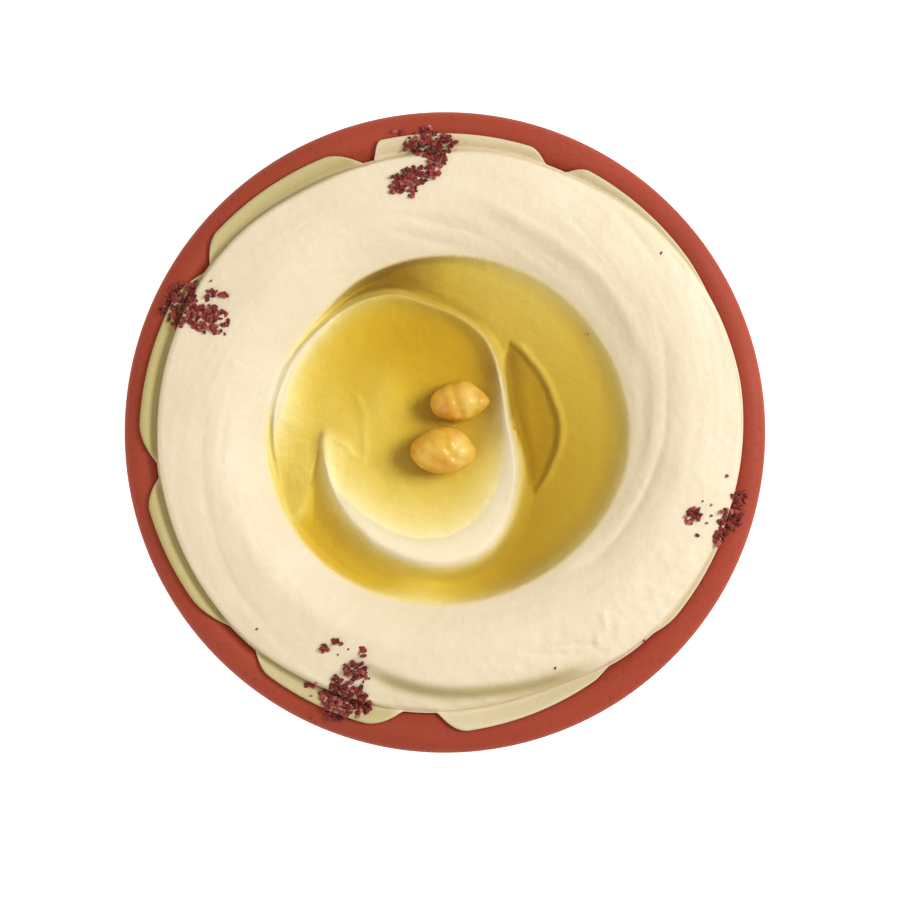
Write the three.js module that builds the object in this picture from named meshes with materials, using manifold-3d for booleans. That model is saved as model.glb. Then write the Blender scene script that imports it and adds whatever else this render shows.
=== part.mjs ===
// Hummus in a small clay dish: a thick ring of spread hummus round a swirled well, with olive
// oil in the well, two whole chickpeas in the oil and pinches of sumac on the ring and the lip.
// Millimetres, +Z up. The origin is the middle of the foot, on the table.
import * as THREE from 'three';
import { mergeVertices } from 'three/addons/utils/BufferGeometryUtils.js';
import Module from 'manifold-3d';

const wasm = await Module();
wasm.setup();

// ---------------------------------------------------------------- driving dimensions

const DISH = {
  radius: 70,          // outside edge of the lip
  height: 30,          // top of the lip
  wall: 4.5,           // thickness, square to the side
  lipMiddle: 66.6,     // the lip is an ellipse in section: its middle radius,
  lipHalfWidth: 3.4,   // half its width and
  lipHalfHeight: 2.4,  // half its height
  lipStart: 63.8,      // radius at which the side runs into the lip
  floorRadius: 25,     // flat middle of the inside
  floorTop: 7,         // inside floor above the table
  sidePower: 1.8,      // how the side curves up from floor to lip
  footInner: 34.5,
  footOuter: 40,
  footRecess: 2,       // hollow under the dish, inside the foot ring
  segments: 52,
};

const GAP = 0.35;              // clearance between neighbouring pieces
const OIL_LEVEL = 27;          // top of the oil above the table
const RAYS = 80;               // how many spokes the hummus mesh has

const RING = {
  innerPower: 1.7,
  outerPower: 1.7,
  edgeRound: 1,        // how far in the outer edge starts to turn down to the smear
};

// The ring's crest: [bearing, radius, height above the oil, fall from there to the outer edge].
const RING_CREST = [
  [0, 53, 5.5, 1.7], [45, 53.5, 5.6, 1.5], [90, 51, 5.8, 1.4], [135, 51, 6.1, 0.8],
  [180, 52, 6.3, 0.6], [225, 50, 6.2, 1.4], [270, 47.5, 5.9, 3.2], [315, 51, 5.6, 1.9],
];

// The swirl's centre lies left of the dish's centre. A turn is counted in degrees, clockwise
// from the left, so the ridge leaves the well's wall at 0 and ends inside at about 360.
const SWIRL = { x: -9.8, y: 0 };

// Radius of the well's edge and of the ring's outer edge: [bearing in degrees, radius].
const WELL_EDGE = [
  [0, 40.3], [45, 39.2], [90, 38.6], [120, 38.2], [137, 37.3], [160, 38.2], [180, 39.2],
  [225, 39.2], [250, 38.2], [285, 37.5], [310, 38], [345, 40],
];
const RING_EDGE = [
  [0, 64.7], [12, 65], [45, 63.8], [62, 62.4], [82, 62.1], [98, 61.2], [120, 61.4],
  [138, 62.6], [180, 62.9], [225, 62.8], [242, 62], [262, 61.3], [282, 60.4], [295, 60.6],
  [304, 61.9], [312, 62.7], [330, 63.3], [346, 64.1],
];

// How steeply the wall drops into the oil: [bearing, slope].
const WALL_SLOPES = [
  [0, 0.7], [50, 0.7], [75, 1], [105, 2.2], [160, 1.3], [194, 1.2], [212, 2.2], [240, 2.2],
  [250, 1], [262, 0.6], [275, 1], [290, 1], [320, 0.75], [345, 0.7],
];

// The swirled ridge: [turn, distance from the swirl's centre, crest above the oil, slope inside,
// slope outside].
const RIDGE = [
  [-28, 28.6, -2.6, 0.6, 1.15], [-12, 27.8, -0.7, 0.5, 1.15], [5, 27.7, 0.4, 0.35, 1.15],
  [25, 27.9, 0.7, 0.55, 1.15], [50, 28.4, 0.45, 0.8, 1.15], [72, 29.8, -0.7, 0.8, 1.15],
  [88, 30.1, -1.3, 1.1, 1], [100, 28.9, -1.6, 1.2, 0.9], [113, 28.4, -1.6, 1.2, 0.9],
  [124, 28.1, -1.4, 1.2, 0.9], [133, 27.6, -1, 1.2, 1], [140, 26.6, -0.6, 1.2, 1.15],
  [155, 24.4, 0.1, 1, 1.15], [175, 23.4, 0.45, 0.7, 1.15], [200, 26.5, 0.95, 0.35, 1.15],
  [232, 31, 1.25, 0.22, 1.15], [250, 30.2, 1.1, 0.2, 1], [275, 25.7, 0.75, 0.22, 0.75],
  [300, 21.5, 0.45, 0.3, 0.7], [325, 18.6, 0.25, 0.4, 0.7], [345, 17.1, -0.2, 0.5, 0.8],
  [357, 16.7, -0.8, 0.6, 0.9], [366, 16.4, -2.6, 0.6, 0.9],
];
const FILLET = 1.4;            // how softly the swirl's floors run into its slopes

// The channel between the ridge and the wall: [turn, height above the oil, rise to the wall].
const CHANNEL = [
  [0, 0.2, 0], [32, 0.1, 0], [46, -1.4, 0], [60, -3.6, 0], [84, -3.9, 0.4], [100, -2.8, 0.2],
  [118, -2.1, 0.8], [140, -2.1, 1.4], [165, -2.7, 1.2], [190, -3.2, 1.6], [215, -3.6, 2],
  [235, -3.8, 1], [262, -3.1, 0], [285, -3.3, 0], [310, -3.6, 0], [330, -3.4, 0], [360, -3, 0],
];

// A narrow furrow along the outside of the ridge; its depth is [turn, depth].
const FURROW = {
  outside: 1.5,
  width: 0.8,
  depth: [[66, 0], [84, 1.3], [100, 1.1], [130, 0.6], [146, 0]],
};

// The bowl inside the ridge rises from its floor as a power of the distance: [turn, power].
const BOWL_POWER = [
  [0, 7], [40, 9], [90, 9], [130, 9], [160, 6], [185, 3.8], [215, 2.8], [250, 2.6], [280, 2.8],
  [310, 3.4], [335, 5],
];
// Between the ridge's two ends the bowl's edge runs across, under the oil.
const BOWL = {
  floor: -3.1,         // floor above the oil
  tiltX: -0.06,        // it is deeper to the right and
  tiltY: -0.05,        // towards the top of the swirl
  firstTurn: 6,
  lastTurn: 314,
  crossing: 24,
  dip: 2.2,
};

// The leaf-shaped hollow outside the ridge: [turn, where it begins, where it ends], both
// measured outwards from the crest.
const LEAF = [
  [139, 4.4, 4.4], [145, 2.1, 6.1], [150, 1.4, 7.3], [158, 0.9, 9.1], [167, 0.8, 10.5],
  [176, 1.2, 11.3], [184, 1.7, 10.4], [192, 2.3, 8.4], [200, 3, 6.3], [207, 4.6, 4.6],
];
const LEAF_DEPTH = {
  drop: 1.6,           // its floor under the channel's
  edge: 0.9,           // width of the sharp fall at its edges
  sharp: 0.6,          // share of the drop that the right edge's sharp fall takes
  slope: 5,            // width of the gentle fall that takes the rest
  lip: 0.55,           // the raised lip along its right edge
  lipWidth: 0.5,
  cliff: 3,            // how much steeper the ridge is where it stands over the leaf
};

// The spoon's lift mark: from the ridge's inner end it swings back and out to the wall.
const LIFT = {
  turn: 356,
  inner: 17,
  outer: 29.6,
  swing: 38,           // degrees it swings back in all,
  bend: 2.2,           // most of them near the inner end
  softness: 2.2,
  spread: 3,
};

// Grooves that the spoon's edge cut into the ring: the path as [bearing, radius], the depth,
// how far the groove runs out to the inside and the outside, the scoop inside it, the scoop's
// width and the degrees over which it fades.
const GROOVES = [
  {
    path: [[-52, 41], [-38, 43.1], [-28, 44.1], [-17, 45.4], [-9, 46.4], [-2, 47.6], [5, 48.4],
      [13, 49.5], [22, 51], [32, 52.6]],
    depth: 0.75, inner: 1.2, outer: 2.6, scoop: 0.4, scoopWidth: 5.5, fade: 14,
  },
  {
    path: [[66, 41.2], [75, 42.7], [84, 44], [90, 45], [97, 46.8], [108, 50]],
    depth: 0.4, inner: 1.1, outer: 2, scoop: 0.35, scoopWidth: 4, fade: 14,
  },
  {
    path: [[166, 50.5], [180, 52.4], [191, 53.5], [209, 55.6], [217, 56.8], [230, 56.6]],
    depth: 0.35, inner: 1.4, outer: 2.5, scoop: 0.1, scoopWidth: 4, fade: 14,
  },
];

// Burrs that the spoon's edge pushed up, in the same terms.
const BURRS = [
  {
    path: [[10, 46], [20, 46.6], [30, 47], [45, 47.9], [60, 48.2], [75, 50], [88, 54.5]],
    height: 0.4, inner: 1.5, outer: 1.3, scoop: 0.3, scoopWidth: 6.5, fade: 16,
  },
];

// The fold low on the ring's outer side: the spoon pressed a ledge there.
const FOLD = {
  path: [[246, 54], [256, 56.2], [268, 57.8], [280, 58.5], [292, 59.7], [306, 61.2]],
  drop: 1.9,
  width: 3,
  lip: 0.35,
  fade: 14,
};

// Thin lobes smeared past the ring onto the lip: [first bearing, last bearing, radius at the
// first, radius at the last, degrees over which the first end and the last end come out].
const SMEARS = [
  [28, 65, 65.2, 65.1, 8, 4], [69.5, 104.5, 65.1, 65.3, 4, 2],
  [107, 144.5, 65.2, 66.5, 7, 6], [146.5, 186, 65.8, 66.8, 8, 8], [189, 222, 66.8, 65.8, 6, 9],
  [229, 261.3, 65.5, 65.8, 5, 7], [268.5, 305, 65.7, 63, 6, 4], [316, 342, 64.3, 64.7, 6, 6],
];
const SMEAR_THICKNESS = 0.9;
const UNDER_LIP = 0.15;        // extra clearance where the smear bends over the lip

// Chickpeas: middle, height, and the outline seen from above as [bearing, radius].
const CHICKPEAS = [
  {
    name: 'chickpea_1',
    x: 3.1,
    y: 6.9,
    height: 8.8,
    outline: [[0, 6.7], [16, 5.8], [33, 5], [56, 4.7], [82, 4.45], [108, 4.3], [141, 4.6],
      [161, 5.6], [180, 6.3], [204, 6.2], [220, 5.6], [242, 4.7], [270, 4.4], [296, 4.5],
      [322, 4.8], [342, 5.9]],
  },
  {
    name: 'chickpea_2',
    x: -0.3,
    y: -3.9,
    height: 9.2,
    outline: [[0, 7.1], [16, 6.3], [42, 5.8], [60, 5.5], [83, 5.3], [108, 5.3], [127, 5.4],
      [147, 5.8], [161, 6.6], [176, 7.2], [192, 7.2], [210, 6.5], [240, 5.5], [266, 5.1],
      [292, 5.1], [315, 5.6], [338, 6.7]],
  },
];

// Pinches of sumac: bearings, radii and how many flakes show from a step away.
const PINCHES = [
  { from: 90, to: 98, inner: 58, outer: 64.5, count: 12 },
  { from: 92, to: 103, inner: 52.3, outer: 58, count: 12 },
  { from: 149, to: 158, inner: 58, outer: 68, count: 13 },
  { from: 147, to: 157, inner: 52, outer: 59, count: 11 },
  { from: 243, to: 255, inner: 56, outer: 67.5, count: 15 },
  { from: 240, to: 251, inner: 50, outer: 55, count: 5 },
  { from: 337, to: 349, inner: 61, outer: 68, count: 12 },
  { from: 338, to: 342, inner: 55, outer: 59, count: 3 },
];
const FLAKE = { smallest: 0.6, largest: 1.05, flatness: 0.6 };

// ---------------------------------------------------------------- small helpers

const radians = THREE.MathUtils.degToRad;
const clamp = THREE.MathUtils.clamp;
const ease = (x, from, to) => THREE.MathUtils.smoothstep(x, from, to);

// The higher of two surfaces, with a fillet where they meet.
function softMax(a, b, fillet) {
  const near = Math.max(fillet - Math.abs(a - b), 0) / fillet;
  return Math.max(a, b) + near * near * fillet * 0.25;
}

// A smooth curve through stations [x, y...], read at x; past the ends it stays level.
function through(stations, x, column = 1) {
  const last = stations.length - 1;
  if (x <= stations[0][0]) return stations[0][column];
  if (x >= stations[last][0]) return stations[last][column];
  let i = 0;
  while (x > stations[i + 1][0]) i += 1;
  const slopeAt = (k) => {
    const a = stations[Math.max(k - 1, 0)];
    const b = stations[Math.min(k + 1, last)];
    return (b[column] - a[column]) / (b[0] - a[0]);
  };
  const span = stations[i + 1][0] - stations[i][0];
  const t = (x - stations[i][0]) / span;
  const start = stations[i][column];
  const end = stations[i + 1][column];
  const pullA = slopeAt(i) * span;
  const pullB = slopeAt(i + 1) * span;
  const t2 = t * t;
  const t3 = t2 * t;
  return start * (2 * t3 - 3 * t2 + 1) + end * (3 * t2 - 2 * t3)
    + pullA * (t3 - 2 * t2 + t) + pullB * (t3 - t2);
}

// The same for a closed outline, whose bearings run once round from 0 to 360.
function closed(stations) {
  const before = stations.slice(-2).map(([x, ...values]) => [x - 360, ...values]);
  const after = stations.slice(0, 2).map(([x, ...values]) => [x + 360, ...values]);
  return [...before, ...stations, ...after];
}
const wellEdgeLine = closed(WELL_EDGE);
const ringEdgeLine = closed(RING_EDGE);
const ringCrestLine = closed(RING_CREST);
const wallSlopeLine = closed(WALL_SLOPES);
const bowlPowerLine = closed(BOWL_POWER);
const wellEdge = (bearing) => through(wellEdgeLine, bearing);
const ringEdge = (bearing) => through(ringEdgeLine, bearing);

function bearingOf(x, y) {
  return (THREE.MathUtils.radToDeg(Math.atan2(y, x)) + 360) % 360;
}

// A repeatable random number from 0 to 1.
function makeRandom(seed) {
  let state = seed;
  return () => {
    state = (state * 1664525 + 1013904223) % 4294967296;
    return state / 4294967296;
  };
}

// ---------------------------------------------------------------- surfaces of the food

// Height of the lip's upper half at a radius.
function lipTop(radius) {
  const across = (radius - DISH.lipMiddle) / DISH.lipHalfWidth;
  const rise = DISH.lipHalfHeight * Math.sqrt(Math.max(1 - across * across, 0));
  return DISH.height - DISH.lipHalfHeight + rise;
}

// Height of the dish's inside at a radius, the lip included.
function dishInside(radius) {
  if (radius >= DISH.lipStart) return lipTop(radius);
  const side = Math.max(radius - DISH.floorRadius, 0) / (DISH.lipStart - DISH.floorRadius);
  return DISH.floorTop + (lipTop(DISH.lipStart) - DISH.floorTop) * side ** DISH.sidePower;
}

// How far out the thin smear reaches at a bearing.
function smearEdge(bearing) {
  const ring = ringEdge(bearing) + 0.3;
  let reach = ring;
  for (const [first, last, fromRadius, toRadius, rise, fall] of SMEARS) {
    const across = clamp((bearing - first) / (last - first), 0, 1);
    const lobe = fromRadius + (toRadius - fromRadius) * across;
    const out = ease(bearing, first, first + rise) * ease(-bearing, -last, fall - last);
    reach = Math.max(reach, ring + (lobe - ring) * Math.sqrt(out));
  }
  return reach;
}

// One strand of the ridge at a turn: its crest with a slope to either side, steeper where it
// stands over the leaf.
function ridgeStrand(turn, distance) {
  if (turn < RIDGE[0][0] || turn > RIDGE[RIDGE.length - 1][0]) return -99;
  const off = distance - through(RIDGE, turn, 1);
  const begin = through(LEAF, turn, 1);
  const width = through(LEAF, turn, 2) - begin;
  const cliff = LEAF_DEPTH.cliff * Math.max(off - begin, 0) * ease(width, 0, 3);
  const slope = through(RIDGE, turn, off < 0 ? 3 : 4);
  return through(RIDGE, turn, 2) - slope * Math.abs(off) - cliff;
}

// Edge of the bowl inside the ridge: column 1 is its distance, column 2 its height.
function bowlEdge(turn, column) {
  if (turn > BOWL.firstTurn && turn < BOWL.lastTurn) return through(RIDGE, turn, column);
  const from = through(RIDGE, BOWL.lastTurn, column);
  const to = through(RIDGE, BOWL.firstTurn, column);
  const past = turn >= BOWL.lastTurn ? turn - BOWL.lastTurn : BOWL.crossing;
  return from + (to - from) * ease(past, 0, BOWL.crossing);
}

// How far the bowl's edge dips under the oil between the ridge's two ends.
function edgeDip(turn) {
  const past = turn < 180 ? turn + 360 : turn;
  return BOWL.dip * ease(past, 305, 330) * (1 - ease(past, 350, 385));
}

// 1 on the floor of the leaf-shaped hollow, 0 outside it.
function leafShare(turn, outside) {
  const fromLeft = outside - through(LEAF, turn, 1);
  const fromRight = through(LEAF, turn, 2) - outside;
  const sharp = LEAF_DEPTH.sharp * ease(fromRight, -0.1, LEAF_DEPTH.edge);
  const gentle = (1 - LEAF_DEPTH.sharp) * ease(fromRight, 0.5, LEAF_DEPTH.slope);
  return ease(fromLeft, -0.1, LEAF_DEPTH.edge) * (sharp + gentle);
}

// Floor outside the ridge: a shelf that leans, the leaf sunk in it, and the furrow.
function channelFloor(turn, outside, toWall) {
  const across = clamp(outside / Math.max(outside + toWall, 1), 0, 1);
  const station = turn + 24 * (across - 0.5);
  const shelf = through(CHANNEL, station) + through(CHANNEL, station, 2) * (across - 0.5);
  const begin = through(LEAF, turn, 1);
  const end = through(LEAF, turn, 2);
  const past = (outside - end - LEAF_DEPTH.lipWidth) / LEAF_DEPTH.lipWidth;
  const lip = LEAF_DEPTH.lip * Math.exp(-(past ** 2)) * ease(end - begin, 1, 5);
  const offFurrow = (outside - FURROW.outside) / FURROW.width;
  const furrow = through(FURROW.depth, turn) * Math.exp(-(offFurrow ** 2));
  return shelf - LEAF_DEPTH.drop * leafShare(turn, outside) + lip - furrow;
}

// Height of the well above the oil.
function wellHeight(x, y) {
  const dx = x - SWIRL.x;
  const dy = y - SWIRL.y;
  const distance = Math.hypot(dx, dy);
  const turn = (540 - bearingOf(dx, dy)) % 360;
  const bearing = bearingOf(x, y);
  const toWall = wellEdge(bearing) - Math.hypot(x, y);
  const outside = distance - through(RIDGE, turn, 1);

  const floor = BOWL.floor + BOWL.tiltX * dx + BOWL.tiltY * dy;
  const share = clamp(distance / bowlEdge(turn, 1), 0, 1);
  const rise = share ** through(bowlPowerLine, turn);
  const bowl = floor + (bowlEdge(turn, 2) - edgeDip(turn) - floor) * rise;

  const channel = channelFloor(turn, outside, toWall);
  const reach = clamp((distance - LIFT.inner) / (LIFT.outer - LIFT.inner), 0, 1);
  const liftTurn = LIFT.turn - LIFT.swing * (1 - (1 - reach) ** LIFT.bend);
  const soft = LIFT.softness + LIFT.spread * reach;
  const inTurn = turn < 180
    ? ease(turn, 0, BOWL.crossing)
    : ease(liftTurn - turn, -soft, soft);

  let height = bowl + (channel - bowl) * ease(outside, -0.6, 0.6) * inTurn;
  height = softMax(height, ridgeStrand(turn, distance), FILLET);
  height = softMax(height, ridgeStrand(turn - 360, distance), FILLET);
  height = softMax(height, ridgeStrand(turn + 360, distance), FILLET);
  return softMax(height, -through(wallSlopeLine, bearing) * toWall, FILLET);
}

// How far a point lies outside a stroke's path, and how strong the stroke is at its bearing.
function strokeAt({ path, fade }, bearing, radius) {
  const first = path[0][0];
  const last = path[path.length - 1][0];
  const at = bearing - 360 >= first ? bearing - 360 : bearing;
  if (at <= first || at >= last) return null;
  const strength = ease(at, first, first + fade) * ease(-at, -last, fade - last);
  return { off: radius - through(path, at), strength };
}

function scoopDepth(stroke, inward) {
  return stroke.scoop * Math.sin(Math.PI * clamp(inward / stroke.scoopWidth, 0, 1)) ** 2;
}

// Height that the spoon strokes add to the ring.
function strokeRelief(bearing, radius) {
  let relief = 0;
  for (const groove of GROOVES) {
    const stroke = strokeAt(groove, bearing, radius);
    if (!stroke) continue;
    const { off, strength } = stroke;
    const cut = groove.depth * Math.exp(off < 0 ? off / groove.inner : -off / groove.outer);
    relief -= strength * (cut + scoopDepth(groove, -off - 2.2));
  }
  for (const burr of BURRS) {
    const stroke = strokeAt(burr, bearing, radius);
    if (!stroke) continue;
    const { off, strength } = stroke;
    const width = off < 0 ? burr.inner : burr.outer;
    const raised = burr.height * Math.exp(-((off / width) ** 2));
    relief += strength * (raised - scoopDepth(burr, -off - 0.6));
  }
  const fold = strokeAt(FOLD, bearing, radius);
  if (fold) {
    const step = FOLD.drop * ease(fold.off, -FOLD.width, 0) - FOLD.lip * ease(fold.off, 0, 1.6);
    relief -= fold.strength * step;
  }
  return relief;
}

// Height of the ring above the table.
function ringHeight(bearing, radius) {
  const well = wellEdge(bearing);
  const edge = ringEdge(bearing);
  const crestRadius = through(ringCrestLine, bearing, 1);
  const crest = through(ringCrestLine, bearing, 2);
  const fall = through(ringCrestLine, bearing, 3);
  const shore = polar(bearing, well, 0);
  const shoreLift = wellHeight(shore.x, shore.y) * (1 - ease(radius, well, well + 4));
  let height;
  if (radius < crestRadius) {
    const short = 1 - clamp((radius - well) / (crestRadius - well), 0, 1);
    height = OIL_LEVEL + crest * (1 - short ** RING.innerPower);
  } else {
    const down = clamp((radius - crestRadius) / (edge - crestRadius), 0, 1);
    height = OIL_LEVEL + crest - fall * down ** RING.outerPower;
  }
  height += shoreLift + strokeRelief(bearing, radius) * ease(radius, well + 0.5, well + 3.5);
  const turned = clamp((radius - edge + RING.edgeRound) / RING.edgeRound, 0, 1);
  const smear = smearTop(radius);
  return smear + (height - smear) * Math.sqrt(1 - turned * turned);
}

const smearTop = (radius) => dishInside(radius) + GAP + SMEAR_THICKNESS;

// Top of the hummus above the table, anywhere inside the smear's edge.
function hummusTop(x, y) {
  const radius = Math.hypot(x, y);
  const bearing = bearingOf(x, y);
  if (radius < wellEdge(bearing)) return OIL_LEVEL + wellHeight(x, y);
  if (radius < ringEdge(bearing)) return Math.max(ringHeight(bearing, radius), smearTop(radius));
  return smearTop(radius);
}

// ---------------------------------------------------------------- making solids

// A closed solid from rings of equal count, with a middle point at either end.
function ringSolid(firstMiddle, rings, lastMiddle) {
  const count = rings[0].length;
  const points = [firstMiddle, ...rings.flat(), lastMiddle];
  const lastIndex = points.length - 1;
  const index = [];
  const at = (ring, j) => 1 + ring * count + (j % count);
  for (let j = 0; j < count; j += 1) {
    index.push(0, at(0, j), at(0, j + 1));
    for (let ring = 0; ring < rings.length - 1; ring += 1) {
      index.push(at(ring, j), at(ring + 1, j), at(ring + 1, j + 1));
      index.push(at(ring, j), at(ring + 1, j + 1), at(ring, j + 1));
    }
    index.push(lastIndex, at(rings.length - 1, j + 1), at(rings.length - 1, j));
  }
  const geometry = new THREE.BufferGeometry().setFromPoints(points);
  geometry.setIndex(index);
  return toSolid(geometry);
}

function toSolid(source) {
  const geometry = source.clone();
  geometry.deleteAttribute('normal');
  geometry.deleteAttribute('uv');
  const merged = mergeVertices(geometry, 1e-4);
  return new wasm.Manifold(new wasm.Mesh({
    numProp: 3,
    vertProperties: new Float32Array(merged.attributes.position.array),
    triVerts: new Uint32Array(merged.index.array),
  }));
}

function toGeometry(solid) {
  const mesh = solid.getMesh();
  const geometry = new THREE.BufferGeometry();
  geometry.setAttribute('position', new THREE.BufferAttribute(mesh.vertProperties, 3));
  geometry.setIndex(new THREE.BufferAttribute(mesh.triVerts, 1));
  geometry.computeVertexNormals();
  return geometry;
}

function largestBody(solid) {
  const bodies = solid.decompose();
  return bodies.reduce((best, body) => (body.volume() > best.volume() ? body : best));
}

const polar = (bearing, radius, height) => new THREE.Vector3(
  radius * Math.cos(radians(bearing)),
  radius * Math.sin(radians(bearing)),
  height,
);
const bearings = Array.from({ length: RAYS }, (_, j) => (j * 360) / RAYS);

// ---------------------------------------------------------------- the clay dish

function makeDish() {
  const { wall, footInner, footOuter, footRecess, lipMiddle, lipStart } = DISH;
  const outline = [
    [0, footRecess], [footInner - 1.5, footRecess], [footInner, 0], [footOuter, 0],
    [footOuter + 0.5, 3.6],
  ];
  const outsideSteps = 4;
  for (let i = 0; i < outsideSteps; i += 1) {
    const inside = footOuter + ((lipStart - 1.5 - footOuter) * i) / (outsideSteps - 1);
    const slope = (dishInside(inside + 0.1) - dishInside(inside - 0.1)) / 0.2;
    const tilt = Math.atan(slope);
    outline.push([inside + wall * Math.sin(tilt), dishInside(inside) - wall * Math.cos(tilt)]);
  }
  const lipFoot = DISH.height - DISH.lipHalfHeight;
  const lipEnd = Math.acos((lipStart - lipMiddle) / DISH.lipHalfWidth);
  const lipSteps = 6;
  for (let i = 0; i <= lipSteps; i += 1) {
    const angle = radians(-38) + (lipEnd + radians(38)) * (i / lipSteps);
    outline.push([
      lipMiddle + DISH.lipHalfWidth * Math.cos(angle),
      lipFoot + DISH.lipHalfHeight * Math.sin(angle),
    ]);
  }
  const insideSteps = 6;
  for (let i = 1; i <= insideSteps; i += 1) {
    const inside = lipStart + ((DISH.floorRadius - lipStart) * i) / insideSteps;
    outline.push([inside, dishInside(inside)]);
  }
  outline.push([0, DISH.floorTop]);
  const profile = outline.map(([r, z]) => new THREE.Vector2(r, z));
  const lathe = new THREE.LatheGeometry(profile, DISH.segments);
  lathe.rotateX(Math.PI / 2);
  return toSolid(lathe);
}

// ---------------------------------------------------------------- the hummus

// Distance of the mesh's ridge line from the swirl's centre. Near the ridge's two ends it
// passes gradually from one end to the other, so the mesh closes.
function guideDistance(turn) {
  const start = 24;
  const end = 336;
  if (turn > start && turn < end) return through(RIDGE, turn, 1);
  const along = turn >= end ? turn - end : turn + 360 - end;
  const share = ease(along, 0, start + 360 - end);
  const from = through(RIDGE, end, 1);
  return from + (through(RIDGE, start, 1) - from) * share;
}

const INSIDE_STATIONS = [0.3, 0.58, 0.8, 0.93];
const CHANNEL_STATIONS = [0, 0.08, 0.18, 0.3, 0.46, 0.66, 0.84, 0.95];
const RING_STATIONS = [0.08, 0.2, 0.31, 0.42, 0.55, 0.7, 0.86, 1];

// Rings of points on the swirl, from its centre out to the well's edge.
function wellRings(lift) {
  const spokes = bearings.map((bearing) => {
    const edge = polar(bearing, wellEdge(bearing), 0);
    const spoke = edge.clone().sub(new THREE.Vector3(SWIRL.x, SWIRL.y, 0));
    const turn = (540 - bearingOf(spoke.x, spoke.y)) % 360;
    return { spoke, reach: spoke.length(), guide: guideDistance(turn) };
  });
  const place = ({ spoke, reach }, distance) => {
    const x = SWIRL.x + (spoke.x * distance) / reach;
    const y = SWIRL.y + (spoke.y * distance) / reach;
    return new THREE.Vector3(x, y, OIL_LEVEL + wellHeight(x, y) + lift);
  };
  const inside = INSIDE_STATIONS.map((share) => spokes.map((s) => place(s, s.guide * share)));
  const outside = CHANNEL_STATIONS.map((share) => spokes.map(
    (s) => place(s, s.guide + (s.reach - s.guide) * share),
  ));
  return [...inside, ...outside];
}

const middlePoint = (lift) => new THREE.Vector3(
  SWIRL.x,
  SWIRL.y,
  OIL_LEVEL + wellHeight(SWIRL.x, SWIRL.y) + lift,
);

function makeHummus() {
  const rings = wellRings(0);
  for (const share of RING_STATIONS) {
    rings.push(bearings.map((bearing) => {
      const well = wellEdge(bearing);
      const radius = well + (ringEdge(bearing) - RING.edgeRound - well) * share;
      return polar(bearing, radius, ringHeight(bearing, radius));
    }));
  }
  rings.push(bearings.map((bearing) => {
    const radius = ringEdge(bearing) - RING.edgeRound * 0.3;
    return polar(bearing, radius, ringHeight(bearing, radius));
  }));
  rings.push(bearings.map((b) => polar(b, ringEdge(b), smearTop(ringEdge(b)))));
  rings.push(bearings.map((b) => {
    const radius = ringEdge(b) + 0.75 * (smearEdge(b) - ringEdge(b));
    return polar(b, radius, smearTop(radius) - 0.1);
  }));
  rings.push(bearings.map((b) => polar(b, smearEdge(b), dishInside(smearEdge(b)) + GAP + 0.4)));
  rings.push(bearings.map((b) => {
    const radius = smearEdge(b) - 0.2;
    return polar(b, radius, dishInside(radius) + GAP + UNDER_LIP);
  }));
  for (const [most, inset] of [[64.6, 0.5], [61.5, 0.8], [56, 1], [46, 1], [36, 1]]) {
    rings.push(bearings.map((b) => {
      const radius = Math.min(most, smearEdge(b) - inset);
      const clear = radius > 60 ? UNDER_LIP : 0;
      return polar(b, radius, dishInside(radius) + GAP + clear);
    }));
  }
  rings.push(bearings.map((b) => polar(b, DISH.floorRadius, DISH.floorTop + GAP)));
  const bottom = new THREE.Vector3(0, 0, DISH.floorTop + GAP);
  return ringSolid(middlePoint(0), rings, bottom);
}

// ---------------------------------------------------------------- chickpeas

// A chickpea: a plump, uneven egg with a beak at one end, round in height.
function chickpeaGeometry(pea, grow) {
  const geometry = mergeVertices(bare(new THREE.IcosahedronGeometry(1, 3)), 1e-4);
  const outline = closed(pea.outline);
  const position = geometry.attributes.position;
  const p = new THREE.Vector3();
  for (let i = 0; i < position.count; i += 1) {
    p.fromBufferAttribute(position, i).normalize();
    const reach = through(outline, bearingOf(p.x, p.y)) + grow;
    position.setXYZ(i, p.x * reach, p.y * reach, p.z * (pea.height / 2 + grow));
  }
  return geometry;
}

function bare(geometry) {
  geometry.deleteAttribute('normal');
  geometry.deleteAttribute('uv');
  return geometry;
}

// Height at which a chickpea's middle comes to rest just clear of the hummus.
function restingHeight(pea) {
  const position = chickpeaGeometry(pea, 0).attributes.position;
  let height = 0;
  for (let i = 0; i < position.count; i += 1) {
    const floor = hummusTop(pea.x + position.getX(i), pea.y + position.getY(i));
    height = Math.max(height, floor + GAP - position.getZ(i));
  }
  return height;
}

// ---------------------------------------------------------------- oil

function makeOil(peas) {
  const outward = (extra, height) => bearings.map(
    (b) => polar(b, wellEdge(b) + extra, height ?? hummusTop(
      polar(b, wellEdge(b) + extra, 0).x,
      polar(b, wellEdge(b) + extra, 0).y,
    ) + GAP),
  );
  const under = OIL_LEVEL - 12;
  const raised = ringSolid(
    middlePoint(GAP),
    [...wellRings(GAP), outward(2.4), outward(2.4, under)],
    new THREE.Vector3(SWIRL.x, SWIRL.y, under),
  );
  const slab = ringSolid(
    new THREE.Vector3(SWIRL.x, SWIRL.y, OIL_LEVEL),
    [outward(1.2, OIL_LEVEL), outward(1.2, under + 1)],
    new THREE.Vector3(SWIRL.x, SWIRL.y, under + 1),
  );
  let oil = slab.subtract(raised);
  for (const pea of peas) oil = oil.subtract(toSolid(placedPea(pea, GAP)));
  return largestBody(oil);
}

function placedPea(pea, grow) {
  const geometry = chickpeaGeometry(pea, grow);
  geometry.translate(pea.x, pea.y, restingHeight(pea));
  return geometry;
}

// ---------------------------------------------------------------- sumac

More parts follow.
